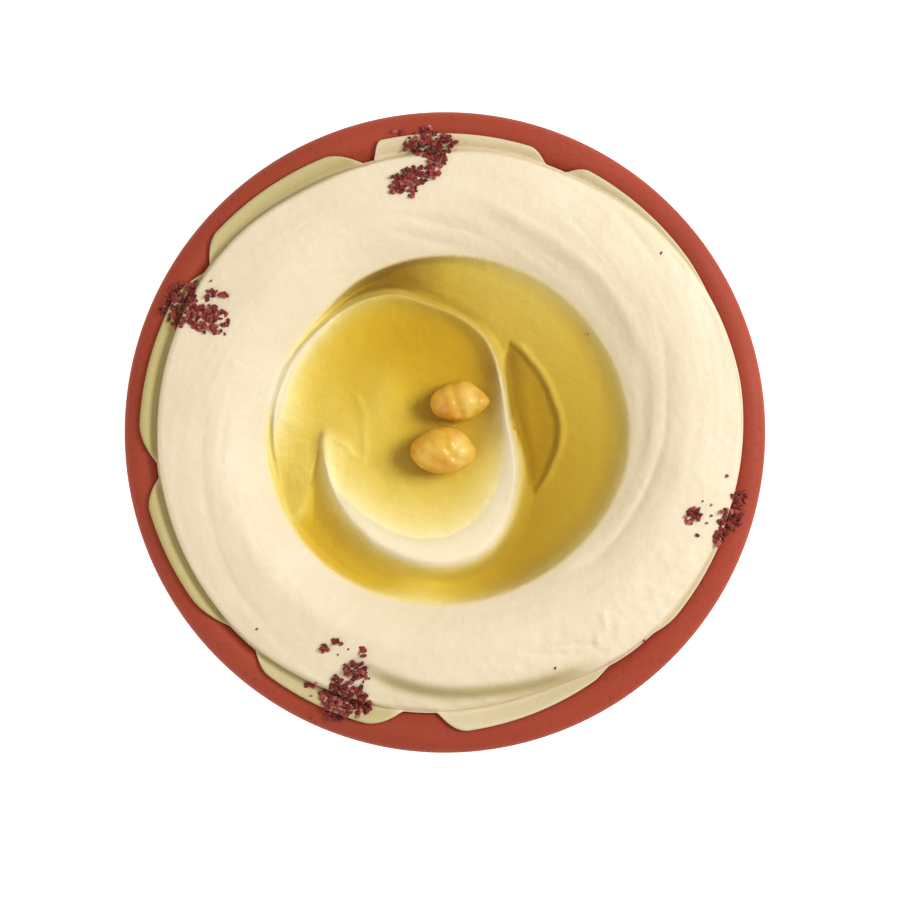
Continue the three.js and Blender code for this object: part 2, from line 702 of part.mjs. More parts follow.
// Flakes as small squashed crumbs, half sunk in what they lie on. A flake near the smear's
// edge would touch both the hummus and the dish, so it is skipped.
function makeFlakes() {
  const random = makeRandom(20);
  const onHummus = [];
  const onDish = [];
  for (const pinch of PINCHES) {
    for (let i = 0; i < pinch.count; i += 1) {
      const spread = (random() + random()) / 2;
      const bearing = pinch.from + (pinch.to - pinch.from) * spread;
      const radius = pinch.inner + (pinch.outer - pinch.inner) * random();
      const size = FLAKE.smallest + (FLAKE.largest - FLAKE.smallest) * random();
      const middle = polar(bearing, radius, 0);
      const margin = 3;
      const nearEdges = [-margin, 0, margin].map((turn) => smearEdge(bearing + turn));
      const crumb = bare(new THREE.IcosahedronGeometry(size, 0));
      crumb.scale(1, 0.65 + 0.3 * random(), FLAKE.flatness);
      crumb.rotateZ(random() * Math.PI);
      crumb.rotateX((random() - 0.5) * 0.7);
      if (radius + size < Math.min(...nearEdges) - 0.2) {
        crumb.translate(middle.x, middle.y, hummusTop(middle.x, middle.y) + size * 0.15);
        onHummus.push(toSolid(crumb));
      } else if (radius - size > Math.max(...nearEdges) + GAP && radius + size < DISH.radius) {
        crumb.translate(middle.x, middle.y, dishInside(radius) + size * 0.12);
        onDish.push(toSolid(crumb));
      }
    }
  }
  return { onHummus, onDish };
}

// ---------------------------------------------------------------- the whole

const FINISH = {
  plate: { color: 0xb04b37, roughness: 0.75 },
  hummus: { color: 0xf0e0c0, roughness: 0.6 },
  olive_oil: { color: 0xd9b54a, roughness: 0.1 },
  chickpea: { color: 0xeec878, roughness: 0.35 },
};

function addPiece(group, name, geometry, finish) {
  const material = new THREE.MeshStandardMaterial({ ...finish, metalness: 0 });
  const mesh = new THREE.Mesh(geometry, material);
  mesh.name = name;
  group.add(mesh);
}

const group = new THREE.Group();
const flakes = makeFlakes();
const dish = wasm.Manifold.union([makeDish(), ...flakes.onDish]);
const hummus = wasm.Manifold.union([makeHummus(), ...flakes.onHummus]);
addPiece(group, 'plate', toGeometry(dish), FINISH.plate);
addPiece(group, 'hummus', toGeometry(hummus), FINISH.hummus);
addPiece(group, 'olive_oil', toGeometry(makeOil(CHICKPEAS)), FINISH.olive_oil);
for (const pea of CHICKPEAS) {
  addPiece(group, pea.name, placedPea(pea, 0), FINISH.chickpea);
}

export default group;
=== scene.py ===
# %% [markdown]
# # Hummus in a clay dish
# A small clay dish holds a thick ring of spread hummus. The back of a spoon has swirled a well
# into its middle, olive oil fills the well, two whole chickpeas stand in the oil, and pinches of
# sumac lie on the ring and on the dish's lip.
#
# The CAD model gives every size and place. Blender works in metres in the same frame: +Z is up
# and the origin is the middle of the dish's foot. The first cell loads that frame and keeps its
# box, which later bounds the dish's lip and the sumac.

# %% Load the frame
import math
import random

import bmesh
import bpy
import numpy as np
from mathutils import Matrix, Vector


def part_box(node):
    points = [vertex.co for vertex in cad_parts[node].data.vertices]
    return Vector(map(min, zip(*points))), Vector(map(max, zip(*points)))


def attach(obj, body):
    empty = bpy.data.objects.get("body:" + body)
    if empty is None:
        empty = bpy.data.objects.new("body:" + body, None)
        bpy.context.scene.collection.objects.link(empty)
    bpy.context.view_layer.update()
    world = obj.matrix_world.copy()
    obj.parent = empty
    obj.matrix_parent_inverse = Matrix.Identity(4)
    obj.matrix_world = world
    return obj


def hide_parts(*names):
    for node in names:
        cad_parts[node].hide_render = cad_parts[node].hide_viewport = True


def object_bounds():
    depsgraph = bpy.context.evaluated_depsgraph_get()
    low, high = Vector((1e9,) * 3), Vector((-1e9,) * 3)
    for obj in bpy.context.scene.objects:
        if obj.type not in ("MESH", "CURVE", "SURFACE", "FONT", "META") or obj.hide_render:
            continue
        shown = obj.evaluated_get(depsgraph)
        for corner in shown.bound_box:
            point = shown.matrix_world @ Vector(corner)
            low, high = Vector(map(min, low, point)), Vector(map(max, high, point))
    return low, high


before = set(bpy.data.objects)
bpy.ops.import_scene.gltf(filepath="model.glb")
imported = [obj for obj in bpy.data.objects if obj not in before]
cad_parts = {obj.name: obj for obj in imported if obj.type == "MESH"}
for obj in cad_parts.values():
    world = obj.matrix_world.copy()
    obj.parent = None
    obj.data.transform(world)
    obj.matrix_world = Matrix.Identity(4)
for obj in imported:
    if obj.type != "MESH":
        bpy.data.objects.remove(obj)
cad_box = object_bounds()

print("CAD nodes:", sorted(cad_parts))

# %% [markdown]
# ## Sizes
# These are the sizes that the CAD model was drawn from, in millimetres, because food is easier
# to think of in millimetres than in metres. A bearing is in degrees, counter-clockwise from the
# dish's right. The swirl has its own centre, left of the dish's, and a turn is counted clockwise
# from its left. Every mesh is scaled by MM when it is made.

# %% Sizes
MM = 0.001
GAP = 0.35  # between neighbouring pieces
OIL_LEVEL = 27.0  # above the table

DISH = {
    "wall": 4.5, "floor_radius": 25.0, "floor_top": 7.0, "side_power": 1.8, "height": 30.0,
    "lip_middle": 66.6, "lip_half_width": 3.4, "lip_half_height": 2.4, "lip_start": 63.8,
    "foot_inner": 34.5, "foot_outer": 40.0, "foot_recess": 2.0,
}
RING = {"inner_power": 1.7, "outer_power": 1.7, "edge_round": 1.0}
SWIRL_X, SWIRL_Y = -9.8, 0.0
SMEAR_THICKNESS = 0.9

# The ring's crest: bearing, radius, height above the oil, fall from there to the outer edge.
RING_CREST = [
    (0, 53, 5.5, 1.7), (45, 53.5, 5.6, 1.5), (90, 51, 5.8, 1.4), (135, 51, 6.1, 0.8),
    (180, 52, 6.3, 0.6), (225, 50, 6.2, 1.4), (270, 47.5, 5.9, 3.2), (315, 51, 5.6, 1.9),
]
# The well's edge and the ring's outer edge: bearing, radius.
WELL_EDGE = [
    (0, 40.3), (45, 39.2), (90, 38.6), (120, 38.2), (137, 37.3), (160, 38.2), (180, 39.2),
    (225, 39.2), (250, 38.2), (285, 37.5), (310, 38), (345, 40),
]
RING_EDGE = [
    (0, 64.7), (12, 65), (45, 63.8), (62, 62.4), (82, 62.1), (98, 61.2), (120, 61.4),
    (138, 62.6), (180, 62.9), (225, 62.8), (242, 62), (262, 61.3), (282, 60.4), (295, 60.6),
    (304, 61.9), (312, 62.7), (330, 63.3), (346, 64.1),
]
# How steeply the wall drops into the oil: bearing, slope.
WALL_SLOPES = [
    (0, 0.7), (50, 0.7), (75, 1.0), (105, 2.2), (160, 1.3), (194, 1.2), (212, 2.2), (240, 2.2),
    (250, 1.0), (262, 0.6), (275, 1.0), (290, 1.0), (320, 0.75), (345, 0.7),
]
# The swirled ridge: turn, distance from the swirl's centre, crest above the oil, its slopes
# on the inside and the outside.
RIDGE = [
    (-28, 28.6, -2.6, 0.6, 1.15), (-12, 27.8, -0.7, 0.5, 1.15), (5, 27.7, 0.4, 0.35, 1.15),
    (25, 27.9, 0.7, 0.55, 1.15), (50, 28.4, 0.45, 0.8, 1.15), (72, 29.8, -0.7, 0.8, 1.15),
    (88, 30.1, -1.3, 1.1, 1), (100, 28.9, -1.6, 1.2, 0.9), (113, 28.4, -1.6, 1.2, 0.9),
    (124, 28.1, -1.4, 1.2, 0.9), (133, 27.6, -1, 1.2, 1), (140, 26.6, -0.6, 1.2, 1.15),
    (155, 24.4, 0.1, 1, 1.15), (175, 23.4, 0.45, 0.7, 1.15), (200, 26.5, 0.95, 0.35, 1.15),
    (232, 31, 1.25, 0.22, 1.15), (250, 30.2, 1.1, 0.2, 1), (275, 25.7, 0.75, 0.22, 0.75),
    (300, 21.5, 0.45, 0.3, 0.7), (325, 18.6, 0.25, 0.4, 0.7), (345, 17.1, -0.2, 0.5, 0.8),
    (357, 16.7, -0.8, 0.6, 0.9), (366, 16.4, -2.6, 0.6, 0.9),
]
FILLET = 1.4
# The channel between the ridge and the wall: turn, height above the oil, rise to the wall.
CHANNEL = [
    (0, 0.2, 0), (32, 0.1, 0), (46, -1.4, 0), (60, -3.6, 0), (84, -3.9, 0.4), (100, -2.8, 0.2),
    (118, -2.1, 0.8), (140, -2.1, 1.4), (165, -2.7, 1.2), (190, -3.2, 1.6),
    (215, -3.6, 2.0), (235, -3.8, 1.0), (262, -3.1, 0), (285, -3.3, 0), (310, -3.6, 0),
    (330, -3.4, 0), (360, -3.0, 0),
]
# A narrow furrow along the outside of the ridge; its depth goes by the turn.
FURROW = {
    "outside": 1.5, "width": 0.8,
    "depth": [(66, 0), (84, 1.3), (100, 1.1), (130, 0.6), (146, 0)],
}
# How steeply the bowl inside the ridge rises at its rim: turn, power of the distance.
BOWL_POWER = [
    (0, 7), (40, 9), (90, 9), (130, 9), (160, 6), (185, 3.8), (215, 2.8), (250, 2.6),
    (280, 2.8), (310, 3.4), (335, 5),
]
# The bowl: its floor above the oil and how that leans, the turns between which the ridge is its
# rim, the degrees over which the rim closes past them, and where and how far the rim dips.
BOWL = {
    "floor": -3.1, "tilt_x": -0.06, "tilt_y": -0.05, "first_turn": 6, "last_turn": 314,
    "crossing": 24, "dip": 2.2, "dip_turns": (305, 330, 350, 385),
}
# The leaf-shaped hollow outside the ridge: turn, where it begins and ends outside the crest.
LEAF = [
    (139, 4.4, 4.4), (145, 2.1, 6.1), (150, 1.4, 7.3), (158, 0.9, 9.1), (167, 0.8, 10.5),
    (176, 1.2, 11.3), (184, 1.7, 10.4), (192, 2.3, 8.4), (200, 3.0, 6.3), (207, 4.6, 4.6),
]
# How far the leaf sinks, how soft its edges are, the lip past it and the cliff on its inside.
LEAF_DEPTH = {
    "drop": 1.6, "edge": 0.9, "sharp": 0.6, "slope": 5.0, "lip": 0.55, "lip_width": 0.5,
    "cliff": 3.0,
}
# The curved mark where the spoon left the food and the channel ends.
LIFT = {
    "turn": 356, "inner": 17, "outer": 29.6, "swing": 38, "bend": 2.2, "softness": 2.2,
    "spread": 3.0,
}
# The ledge that the spoon pressed low on the ring's outer side: a path of bearings and radii.
FOLD = {
    "path": [(246, 54), (256, 56.2), (268, 57.8), (280, 58.5), (292, 59.7), (306, 61.2)],
    "drop": 1.9, "width": 3.0, "lip": 0.35, "fade": 14,
}
# Thin lobes smeared onto the lip: first and last bearing, radius at the first and the last,
# the degrees over which either end comes out from under the ring, how oily; the left lobes' larger
# amounts are partly painted shade where the ring's shadow falls.
SMEARS = [
    (28, 65, 65.2, 65.1, 8, 4, 0.35), (69.5, 104.5, 65.1, 65.3, 4, 2, 0.3),
    (107, 144.5, 65.2, 66.5, 7, 6, 0.75), (146.5, 186, 65.8, 66.8, 8, 8, 0.9),
    (189, 222, 66.8, 65.8, 6, 9, 0.9), (229, 261.3, 65.5, 65.8, 5, 7, 0.7),
    (268.5, 305, 65.7, 63.0, 6, 4, 0.25), (316, 342, 64.3, 64.7, 6, 6, 0.2),
]
print("sizes set: the dish is", 2 * (DISH["lip_middle"] + DISH["lip_half_width"]), "mm across")

# %% [markdown]
# Spoon strokes are what makes hummus look spread rather than poured. A groove is where the
# spoon's edge cut in, a burr is what the edge pushed up, and beside each the bowl of the spoon
# left a shallow scoop. Each stroke follows a path of bearings and radii, and fades at both ends.
# The last three grooves are finer than the CAD solid shows.

# %% Spoon strokes
GROOVES = [
    dict(path=[(-52, 41), (-38, 43.1), (-28, 44.1), (-17, 45.4), (-9, 46.4), (-2, 47.6),
               (5, 48.4), (13, 49.5), (22, 51), (32, 52.6)],
         depth=0.75, inner=1.2, outer=2.6, scoop=0.4, scoop_width=5.5, fade=14),
    dict(path=[(66, 41.2), (75, 42.7), (84, 44), (90, 45), (97, 46.8), (108, 50)],
         depth=0.4, inner=1.1, outer=2.0, scoop=0.35, scoop_width=4, fade=14),
    dict(path=[(166, 50.5), (180, 52.4), (191, 53.5), (209, 55.6), (217, 56.8), (230, 56.6)],
         depth=0.35, inner=1.4, outer=2.5, scoop=0.1, scoop_width=4, fade=14),
    dict(path=[(35, 49.5), (46, 51.3), (56, 53.2), (66, 57)],
         depth=0.25, inner=1.0, outer=1.4, scoop=0.0, scoop_width=4, fade=8),
    dict(path=[(37, 58.8), (45, 59.6), (54, 61)],
         depth=0.3, inner=0.8, outer=1.0, scoop=0.0, scoop_width=4, fade=6),
    dict(path=[(289, 51.2), (294, 52.6), (299, 55.4), (302, 57.6)],
         depth=0.35, inner=0.6, outer=0.8, scoop=0.0, scoop_width=4, fade=4),
]
BURRS = [
    dict(path=[(10, 46), (20, 46.6), (30, 47), (45, 47.9), (60, 48.2), (75, 50), (88, 54.5)],
         height=0.4, inner=1.5, outer=1.3, scoop=0.3, scoop_width=6.5, fade=16),
]
print(len(GROOVES), "grooves and", len(BURRS), "burr")

# %% [markdown]
# ## The shape of the food as a height field
# Spread food has no undercuts worth showing, so its top can be written as one height for each
# place. numpy works on whole arrays, so one call gives the height of every point of a mesh. The
# helpers are an eased step, the higher of two surfaces with a soft fillet, a soft hump, and a
# smooth curve through a few stations.

# %% Helpers for height fields
def ease(x, first, last):
    t = np.clip((x - first) / (last - first), 0, 1)
    return t * t * (3 - 2 * t)


def soft_max(a, b, fillet):
    near = np.maximum(fillet - np.abs(a - b), 0) / fillet
    return np.maximum(a, b) + near * near * fillet * 0.25


def hump(off, width):
    """1 where off is 0, falling softly to nothing on both sides."""
    return np.exp(-((off / width) ** 2))


def between(x, begin, full, fade, end):
    """0 before begin and past end, and 1 from full to fade."""
    return ease(x, begin, full) * (1 - ease(x, fade, end))


def through(stations, x, column=1):
    """A smooth curve through the stations, read at x; level past both ends."""
    table = np.array(stations, float)
    xs, ys = table[:, 0], table[:, column]
    last = len(xs) - 1
    before = np.maximum(np.arange(last + 1) - 1, 0)
    after = np.minimum(np.arange(last + 1) + 1, last)
    slopes = (ys[after] - ys[before]) / (xs[after] - xs[before])
    x = np.asarray(x, float)
    i = np.clip(np.searchsorted(xs, x) - 1, 0, last - 1)
    span = xs[i + 1] - xs[i]
    t = np.clip((x - xs[i]) / span, 0, 1)
    t2, t3 = t * t, t * t * t
    return (ys[i] * (2 * t3 - 3 * t2 + 1) + ys[i + 1] * (3 * t2 - 2 * t3)
            + slopes[i] * span * (t3 - 2 * t2 + t) + slopes[i + 1] * span * (t3 - t2))


def closed(stations):
    """The stations of a closed outline, carried on past 0 and past 360 degrees."""
    before = [(s[0] - 360, *s[1:]) for s in stations[-2:]]
    after = [(s[0] + 360, *s[1:]) for s in stations[:2]]
    return before + list(stations) + after


def well_edge(bearing):
    return through(closed(WELL_EDGE), bearing)


def ring_edge(bearing):
    return through(closed(RING_EDGE), bearing)


def bearing_of(x, y):
    return np.mod(np.degrees(np.arctan2(y, x)), 360)


def turn_of(dx, dy):
    """The turn of a place that lies dx and dy from the swirl's centre."""
    return np.mod(540 - bearing_of(dx, dy), 360)


def place_at(bearing, radius):
    return radius * np.cos(np.radians(bearing)), radius * np.sin(np.radians(bearing))


def inside_well(x, y):
    """How far each place lies inside the well's edge."""
    return well_edge(bearing_of(x, y)) - np.hypot(x, y)


print("well edge at 0 degrees:", float(well_edge(0.0)), "mm")

# %% [markdown]
# The dish's inside rises as a power of the radius and runs into a lip that is an ellipse in
# section. The thin lobes of hummus follow that surface past the ring's edge.

# %% The dish's surface and the lobes on it
def lip_top(radius):
    across = (radius - DISH["lip_middle"]) / DISH["lip_half_width"]
    rise = DISH["lip_half_height"] * np.sqrt(np.maximum(1 - across**2, 0))
    return DISH["height"] - DISH["lip_half_height"] + rise


def dish_inside(radius):
    run = DISH["lip_start"] - DISH["floor_radius"]
    side = np.maximum(radius - DISH["floor_radius"], 0) / run
    climb = lip_top(DISH["lip_start"]) - DISH["floor_top"]
    wall = DISH["floor_top"] + climb * side ** DISH["side_power"]
    return np.where(radius < DISH["lip_start"], wall, lip_top(radius))


def smear_edge(bearing):
    base = ring_edge(bearing) + 0.3
    reach = np.array(base, float)
    for first, last, from_radius, to_radius, rise, fall, _ in SMEARS:
        across = np.clip((bearing - first) / (last - first), 0, 1)
        lobe = from_radius + (to_radius - from_radius) * across
        out = ease(bearing, first, first + rise) * ease(-bearing, -last, fall - last)
        reach = np.maximum(reach, base + (lobe - base) * np.sqrt(out))
    return reach


def smear_top(radius):
    return dish_inside(radius) + GAP + SMEAR_THICKNESS


print("lip:", round(float(lip_top(DISH["lip_middle"])), 1), "mm high")

# %% [markdown]
# The well is the swirl itself. A bowl lies inside the ridge, a channel runs between the ridge
# and the wall, a leaf-shaped hollow lies on its right, and a lift mark shows where the spoon
# left the food. The highest of these surfaces wins, with a fillet where they meet.

# %% The swirled well
def ridge_strand(turn, distance):
    off = distance - through(RIDGE, turn, 1)
    begin, end = through(LEAF, turn, 1), through(LEAF, turn, 2)
    cliff = LEAF_DEPTH["cliff"] * np.maximum(off - begin, 0) * ease(end - begin, 0, 3)
    slope = np.where(off < 0, through(RIDGE, turn, 3), through(RIDGE, turn, 4))
    drop = slope * np.abs(off) + cliff
    beyond = (turn < RIDGE[0][0]) | (turn > RIDGE[-1][0])
    return np.where(beyond, -99, through(RIDGE, turn, 2) - drop)


def bowl_edge(turn, column):
    start, end = BOWL["first_turn"], BOWL["last_turn"]
    first, last = through(RIDGE, end, column), through(RIDGE, start, column)
    past = np.where(turn >= end, turn - end, BOWL["crossing"])
    across = first + (last - first) * ease(past, 0, BOWL["crossing"])
    return np.where((turn > start) & (turn < end), through(RIDGE, turn, column), across)


def edge_dip(turn):
    past = np.where(turn < 180, turn + 360, turn)
    return BOWL["dip"] * between(past, *BOWL["dip_turns"])


def leaf_share(turn, outside):
    """1 on the floor of the leaf-shaped hollow, 0 outside it."""
    from_left, from_right = outside - through(LEAF, turn, 1), through(LEAF, turn, 2) - outside
    sharp = LEAF_DEPTH["sharp"] * ease(from_right, -0.1, LEAF_DEPTH["edge"])
    gentle = (1 - LEAF_DEPTH["sharp"]) * ease(from_right, 0.5, LEAF_DEPTH["slope"])
    return ease(from_left, -0.1, LEAF_DEPTH["edge"]) * (sharp + gentle)


def channel_floor(turn, outside, to_wall):
    """Floor outside the ridge: a shelf that leans, the leaf sunk in it, and the furrow."""
    across = np.clip(outside / np.maximum(outside + to_wall, 1), 0, 1)
    station = turn + 24 * (across - 0.5)
    shelf = through(CHANNEL, station) + through(CHANNEL, station, 2) * (across - 0.5)
    begin, end = through(LEAF, turn, 1), through(LEAF, turn, 2)
    past = outside - end - LEAF_DEPTH["lip_width"]
    lip = LEAF_DEPTH["lip"] * hump(past, LEAF_DEPTH["lip_width"]) * ease(end - begin, 1, 5)
    furrow = hump(outside - FURROW["outside"], FURROW["width"]) * through(FURROW["depth"], turn)
    return shelf - LEAF_DEPTH["drop"] * leaf_share(turn, outside) + lip - furrow


def well_height(x, y):
    dx, dy = x - SWIRL_X, y - SWIRL_Y
    distance = np.hypot(dx, dy)
    turn, bearing = turn_of(dx, dy), bearing_of(x, y)
    to_wall = inside_well(x, y)
    outside = distance - through(RIDGE, turn, 1)

    floor = BOWL["floor"] + BOWL["tilt_x"] * dx + BOWL["tilt_y"] * dy
    power = through(closed(BOWL_POWER), turn)
    share = np.clip(distance / bowl_edge(turn, 1), 0, 1)
    bowl = floor + (bowl_edge(turn, 2) - edge_dip(turn) - floor) * share**power

    channel = channel_floor(turn, outside, to_wall)
    reach = np.clip((distance - LIFT["inner"]) / (LIFT["outer"] - LIFT["inner"]), 0, 1)
    lift_turn = LIFT["turn"] - LIFT["swing"] * (1 - (1 - reach) ** LIFT["bend"])
    soft = LIFT["softness"] + LIFT["spread"] * reach
    before_lift = ease(lift_turn - turn, -soft, soft)
    in_turn = np.where(turn < 180, ease(turn, 0, BOWL["crossing"]), before_lift)

    height = bowl + (channel - bowl) * ease(outside, -0.6, 0.6) * in_turn
    for shift in (0, -360, 360):
        height = soft_max(height, ridge_strand(turn + shift, distance), FILLET)
    return soft_max(height, -through(closed(WALL_SLOPES), bearing) * to_wall, FILLET)


print("deepest place under the oil is about", round(float(well_height(-9.8, 0.0)), 1), "mm")

# %% [markdown]
# The ring is a long soft hill from the well's edge over its crest to the outer edge, where it
# turns down onto the thin smear. The spoon strokes are added to it.

# %% The ring round the well
def stroke_at(stroke, bearing, radius):
    """How far each point lies outside the stroke's path, and the stroke's strength there."""
    first, last = stroke["path"][0][0], stroke["path"][-1][0]
    at = np.where(bearing - 360 >= first, bearing - 360, bearing)
    strength = (ease(at, first, first + stroke["fade"])
                * ease(-at, -last, stroke["fade"] - last))
    return radius - through(stroke["path"], at), strength


def scoop_depth(stroke, inward):
    share = np.clip(inward / stroke["scoop_width"], 0, 1)
    return stroke["scoop"] * np.sin(np.pi * share) ** 2


def stroke_relief(bearing, radius):
    relief = np.zeros_like(radius)
    for groove in GROOVES:
        off, strength = stroke_at(groove, bearing, radius)
        run = np.where(off < 0, groove["inner"], groove["outer"])
        cut = groove["depth"] * np.exp(-np.abs(off) / run)
        relief -= strength * (cut + scoop_depth(groove, -off - 2.2))
    for burr in BURRS:
        off, strength = stroke_at(burr, bearing, radius)
        width = np.where(off < 0, burr["inner"], burr["outer"])
        raised = burr["height"] * hump(off, width)
        relief += strength * (raised - scoop_depth(burr, -off - 0.6))
    off, strength = stroke_at(FOLD, bearing, radius)
    step = FOLD["drop"] * ease(off, -FOLD["width"], 0) - FOLD["lip"] * ease(off, 0, 1.6)
    return relief - strength * step


def ring_height(bearing, radius):
    well, edge = well_edge(bearing), ring_edge(bearing)
    crest_radius, crest, fall = [through(closed(RING_CREST), bearing, i) for i in (1, 2, 3)]
    shore = well_height(*place_at(bearing, well)) * (1 - ease(radius, well, well + 4))
    short = 1 - np.clip((radius - well) / (crest_radius - well), 0, 1)
    inner = OIL_LEVEL + crest * (1 - short ** RING["inner_power"])
    down = np.clip((radius - crest_radius) / (edge - crest_radius), 0, 1)
    outer = OIL_LEVEL + crest - fall * down ** RING["outer_power"]
    strokes = stroke_relief(bearing, radius) * ease(radius, well + 0.5, well + 3.5)
    top = np.where(radius < crest_radius, inner, outer) + shore + strokes
    turned = np.clip((radius - edge + RING["edge_round"]) / RING["edge_round"], 0, 1)
    smear = smear_top(radius)
    return smear + (top - smear) * np.sqrt(1 - turned**2)


def hummus_top(x, y):
    radius, bearing = np.hypot(x, y), bearing_of(x, y)
    smear = smear_top(radius)
    ring = np.maximum(ring_height(bearing, radius), smear)
    well = OIL_LEVEL + well_height(x, y)
    on_ring = np.where(radius < ring_edge(bearing), ring, smear)
    return np.where(radius < well_edge(bearing), well, on_ring)


print("ring crest:", round(float(hummus_top(np.array(-52.0), np.array(0.0))), 1), "mm")

# %% [markdown]
# ## Fine relief
# Hummus is ground chickpeas, so its surface is not as smooth as cream. The spoon leaves faint
# streaks along its path, and small lumps and pits stay where it pressed less. Value noise gives
# both: cells drawn out along the spoon's path make streaks, and small square ones make lumps.

# %% Fine relief
def lattice_noise(u, v, seed, cells=256):
    """Smooth noise from -1 to 1 on a lattice with one random value for each whole u and v."""
    values = np.random.default_rng(seed).uniform(-1, 1, (cells, cells))
    iu, iv = np.floor(u).astype(int), np.floor(v).astype(int)
    fu, fv = ease(u - iu, 0, 1), ease(v - iv, 0, 1)
    corners = [values[(iu + a) % cells, (iv + b) % cells] for a in (0, 1) for b in (0, 1)]
    near = corners[0] * (1 - fv) + corners[1] * fv
    far = corners[2] * (1 - fv) + corners[3] * fv
    return near * (1 - fu) + far * fu


STREAK_DRIFT = 0.11  # how far the spoon's path moves outwards in a degree


def streaks(bearing, radius, cell_degrees, cell_mm, seed):
    """Noise drawn out along the spoon's path."""
    late = ease(bearing, 290, 345)
    parts = []
    for at in (bearing, bearing - 360):
        spiral = radius - STREAK_DRIFT * at
        parts.append(lattice_noise(at / cell_degrees + 90, spiral / cell_mm + 90, seed))
    return parts[0] * (1 - late) + parts[1] * late


# Small cuts and burrs that the spoon left on the front of the ring: path, height and width.
MARKS = [
    ([(22.8, -46.8), (27.7, -46.1), (32.6, -46.2)], -0.28, 0.5),
    ([(28.3, -48.0), (32.6, -46.2)], -0.28, 0.45),
    ([(34.4, -39.5), (35.0, -42.5)], 0.4, 0.7),
    ([(33.2, -44.4), (33.2, -46.2)], 0.4, 0.6),
    ([(2.6, -59.2), (9.4, -58.5)], 0.35, 0.7),
]
# How far the ring's streaks, lumps and soft unevenness stand, and the well's unevenness.
RELIEF = {"streaks": 0.10, "lumps": 0.15, "soft": 0.19, "well": 0.07}
# The grainiest stretch of the ring, and the share of its lumps that shows elsewhere.
GRAINY = {"bearing": 312, "width": 34.0, "inner": 46, "outer": 56, "elsewhere": 0.35}


def distance_to_path(x, y, path):
    nearest = np.full(np.shape(x), 1e3)
    for (ax, ay), (bx, by) in zip(path, path[1:]):
        length = (bx - ax) ** 2 + (by - ay) ** 2
        t = np.clip(((x - ax) * (bx - ax) + (y - ay) * (by - ay)) / length, 0, 1)
        nearest = np.minimum(nearest, np.hypot(x - ax - t * (bx - ax), y - ay - t * (by - ay)))
    return nearest


def fine_relief(x, y):
    radius, bearing = np.hypot(x, y), bearing_of(x, y)
    ring = ease(radius, well_edge(bearing), well_edge(bearing) + 4)
    long = streaks(bearing, radius, 26, 2.3, 3) + 0.6 * streaks(bearing, radius, 15, 1.1, 4)
    lumps = lattice_noise(x / 1.9 + 60, y / 1.9 + 60, 5) + 0.7 * lattice_noise(x / 0.9, y / 0.9, 6)
    grainy = hump(bearing - GRAINY["bearing"], GRAINY["width"])
    grainy = grainy * ease(radius, GRAINY["inner"], GRAINY["outer"])
    rough = GRAINY["elsewhere"] + (1 - GRAINY["elsewhere"]) * grainy
    soft = lattice_noise(x / 7.5 + 40, y / 7.5 + 40, 7)
    marks = 0
    for path, height, width in MARKS:
        marks = marks + height * hump(distance_to_path(x, y, path), width)
    return ring * (RELIEF["streaks"] * long + RELIEF["lumps"] * rough * lumps
                   + RELIEF["soft"] * soft + marks)


# A curl that the spoon's tip left inside the ridge: points on its path, height and width.
CURL = {
    "path": [(-25.8, -0.3), (-21.7, -2.7), (-19.8, -5.2), (-17.9, -6.1), (-17.3, -4.0),
             (-17.6, 0.4), (-17.9, 4.7), (-19.2, 7.8)],
    "height": 0.28, "width": 0.6,
}
# Soft swells of the bowl's floor, and one dip: middle, half sizes and height.
SWELLS = [
    {"x": -13.8, "y": 6.5, "across": 5.0, "along": 8.0, "height": 1.0},
    {"x": -21.0, "y": -2.0, "across": 5.0, "along": 6.0, "height": 0.7},
    {"x": -25.0, "y": 7.0, "across": 4.0, "along": 8.0, "height": 0.3},
    {"x": -10.0, "y": 19.0, "across": 9.0, "along": 6.0, "height": -0.45},
]


def well_relief(x, y):
    curl = CURL["height"] * hump(distance_to_path(x, y, CURL["path"]), CURL["width"])
    raised = 0
    for swell in SWELLS:
        across, along = (x - swell["x"]) / swell["across"], (y - swell["y"]) / swell["along"]
        raised = raised + swell["height"] * np.exp(-(across**2) - along**2)
    soft = lattice_noise(x / 3.2 + 20, y / 3.2 + 20, 8) + 0.5 * lattice_noise(x / 1.3, y / 1.3, 9)
    return ease(inside_well(x, y), 0, 1.5) * (curl + raised + RELIEF["well"] * soft)


def finished_well(x, y):
    """Top of the hummus in the well, with its fine relief."""
    return hummus_top(x, y) + well_relief(x, y)


lower_right = fine_relief(np.array([42.0]), np.array([-42.0]))
print("fine relief at the lower right:", round(float(lower_right[0]), 3))

# %% [markdown]
# ## Meshes from rings of points
# The hummus, the oil and the chickpeas are all closed skins. Rings of equal count, joined by
# quads, with a fan at either end, make such a skin with no open edge.

# %% Mesh helpers
def new_piece(name, points, faces):
    mesh = bpy.data.meshes.new(name)
    mesh.from_pydata((np.asarray(points) * MM).tolist(), [], faces)
    mesh.update()
    mesh.polygons.foreach_set("use_smooth", np.full(len(mesh.polygons), True))
    piece = bpy.data.objects.new(name, mesh)
    bpy.context.scene.collection.objects.link(piece)
    return piece


def ring_skin(first_middle, rings, last_middle):
    """Points and faces of a closed skin; rings run counter-clockwise, top and outwards first."""
    count = len(rings[0])
    points = np.vstack([[first_middle], *rings, [last_middle]])
    ahead = np.roll(np.arange(count), -1)
    faces = [(0, 1 + j, 1 + ahead[j]) for j in range(count)]
    for k in range(len(rings) - 1):
        a, b = 1 + k * count, 1 + (k + 1) * count
        quads = np.stack([a + np.arange(count), b + np.arange(count), b + ahead, a + ahead], 1)
        faces += quads.tolist()
    end, base = len(points) - 1, 1 + (len(rings) - 1) * count
    faces += [(end, base + int(ahead[j]), base + j) for j in range(count)]
    return points, faces


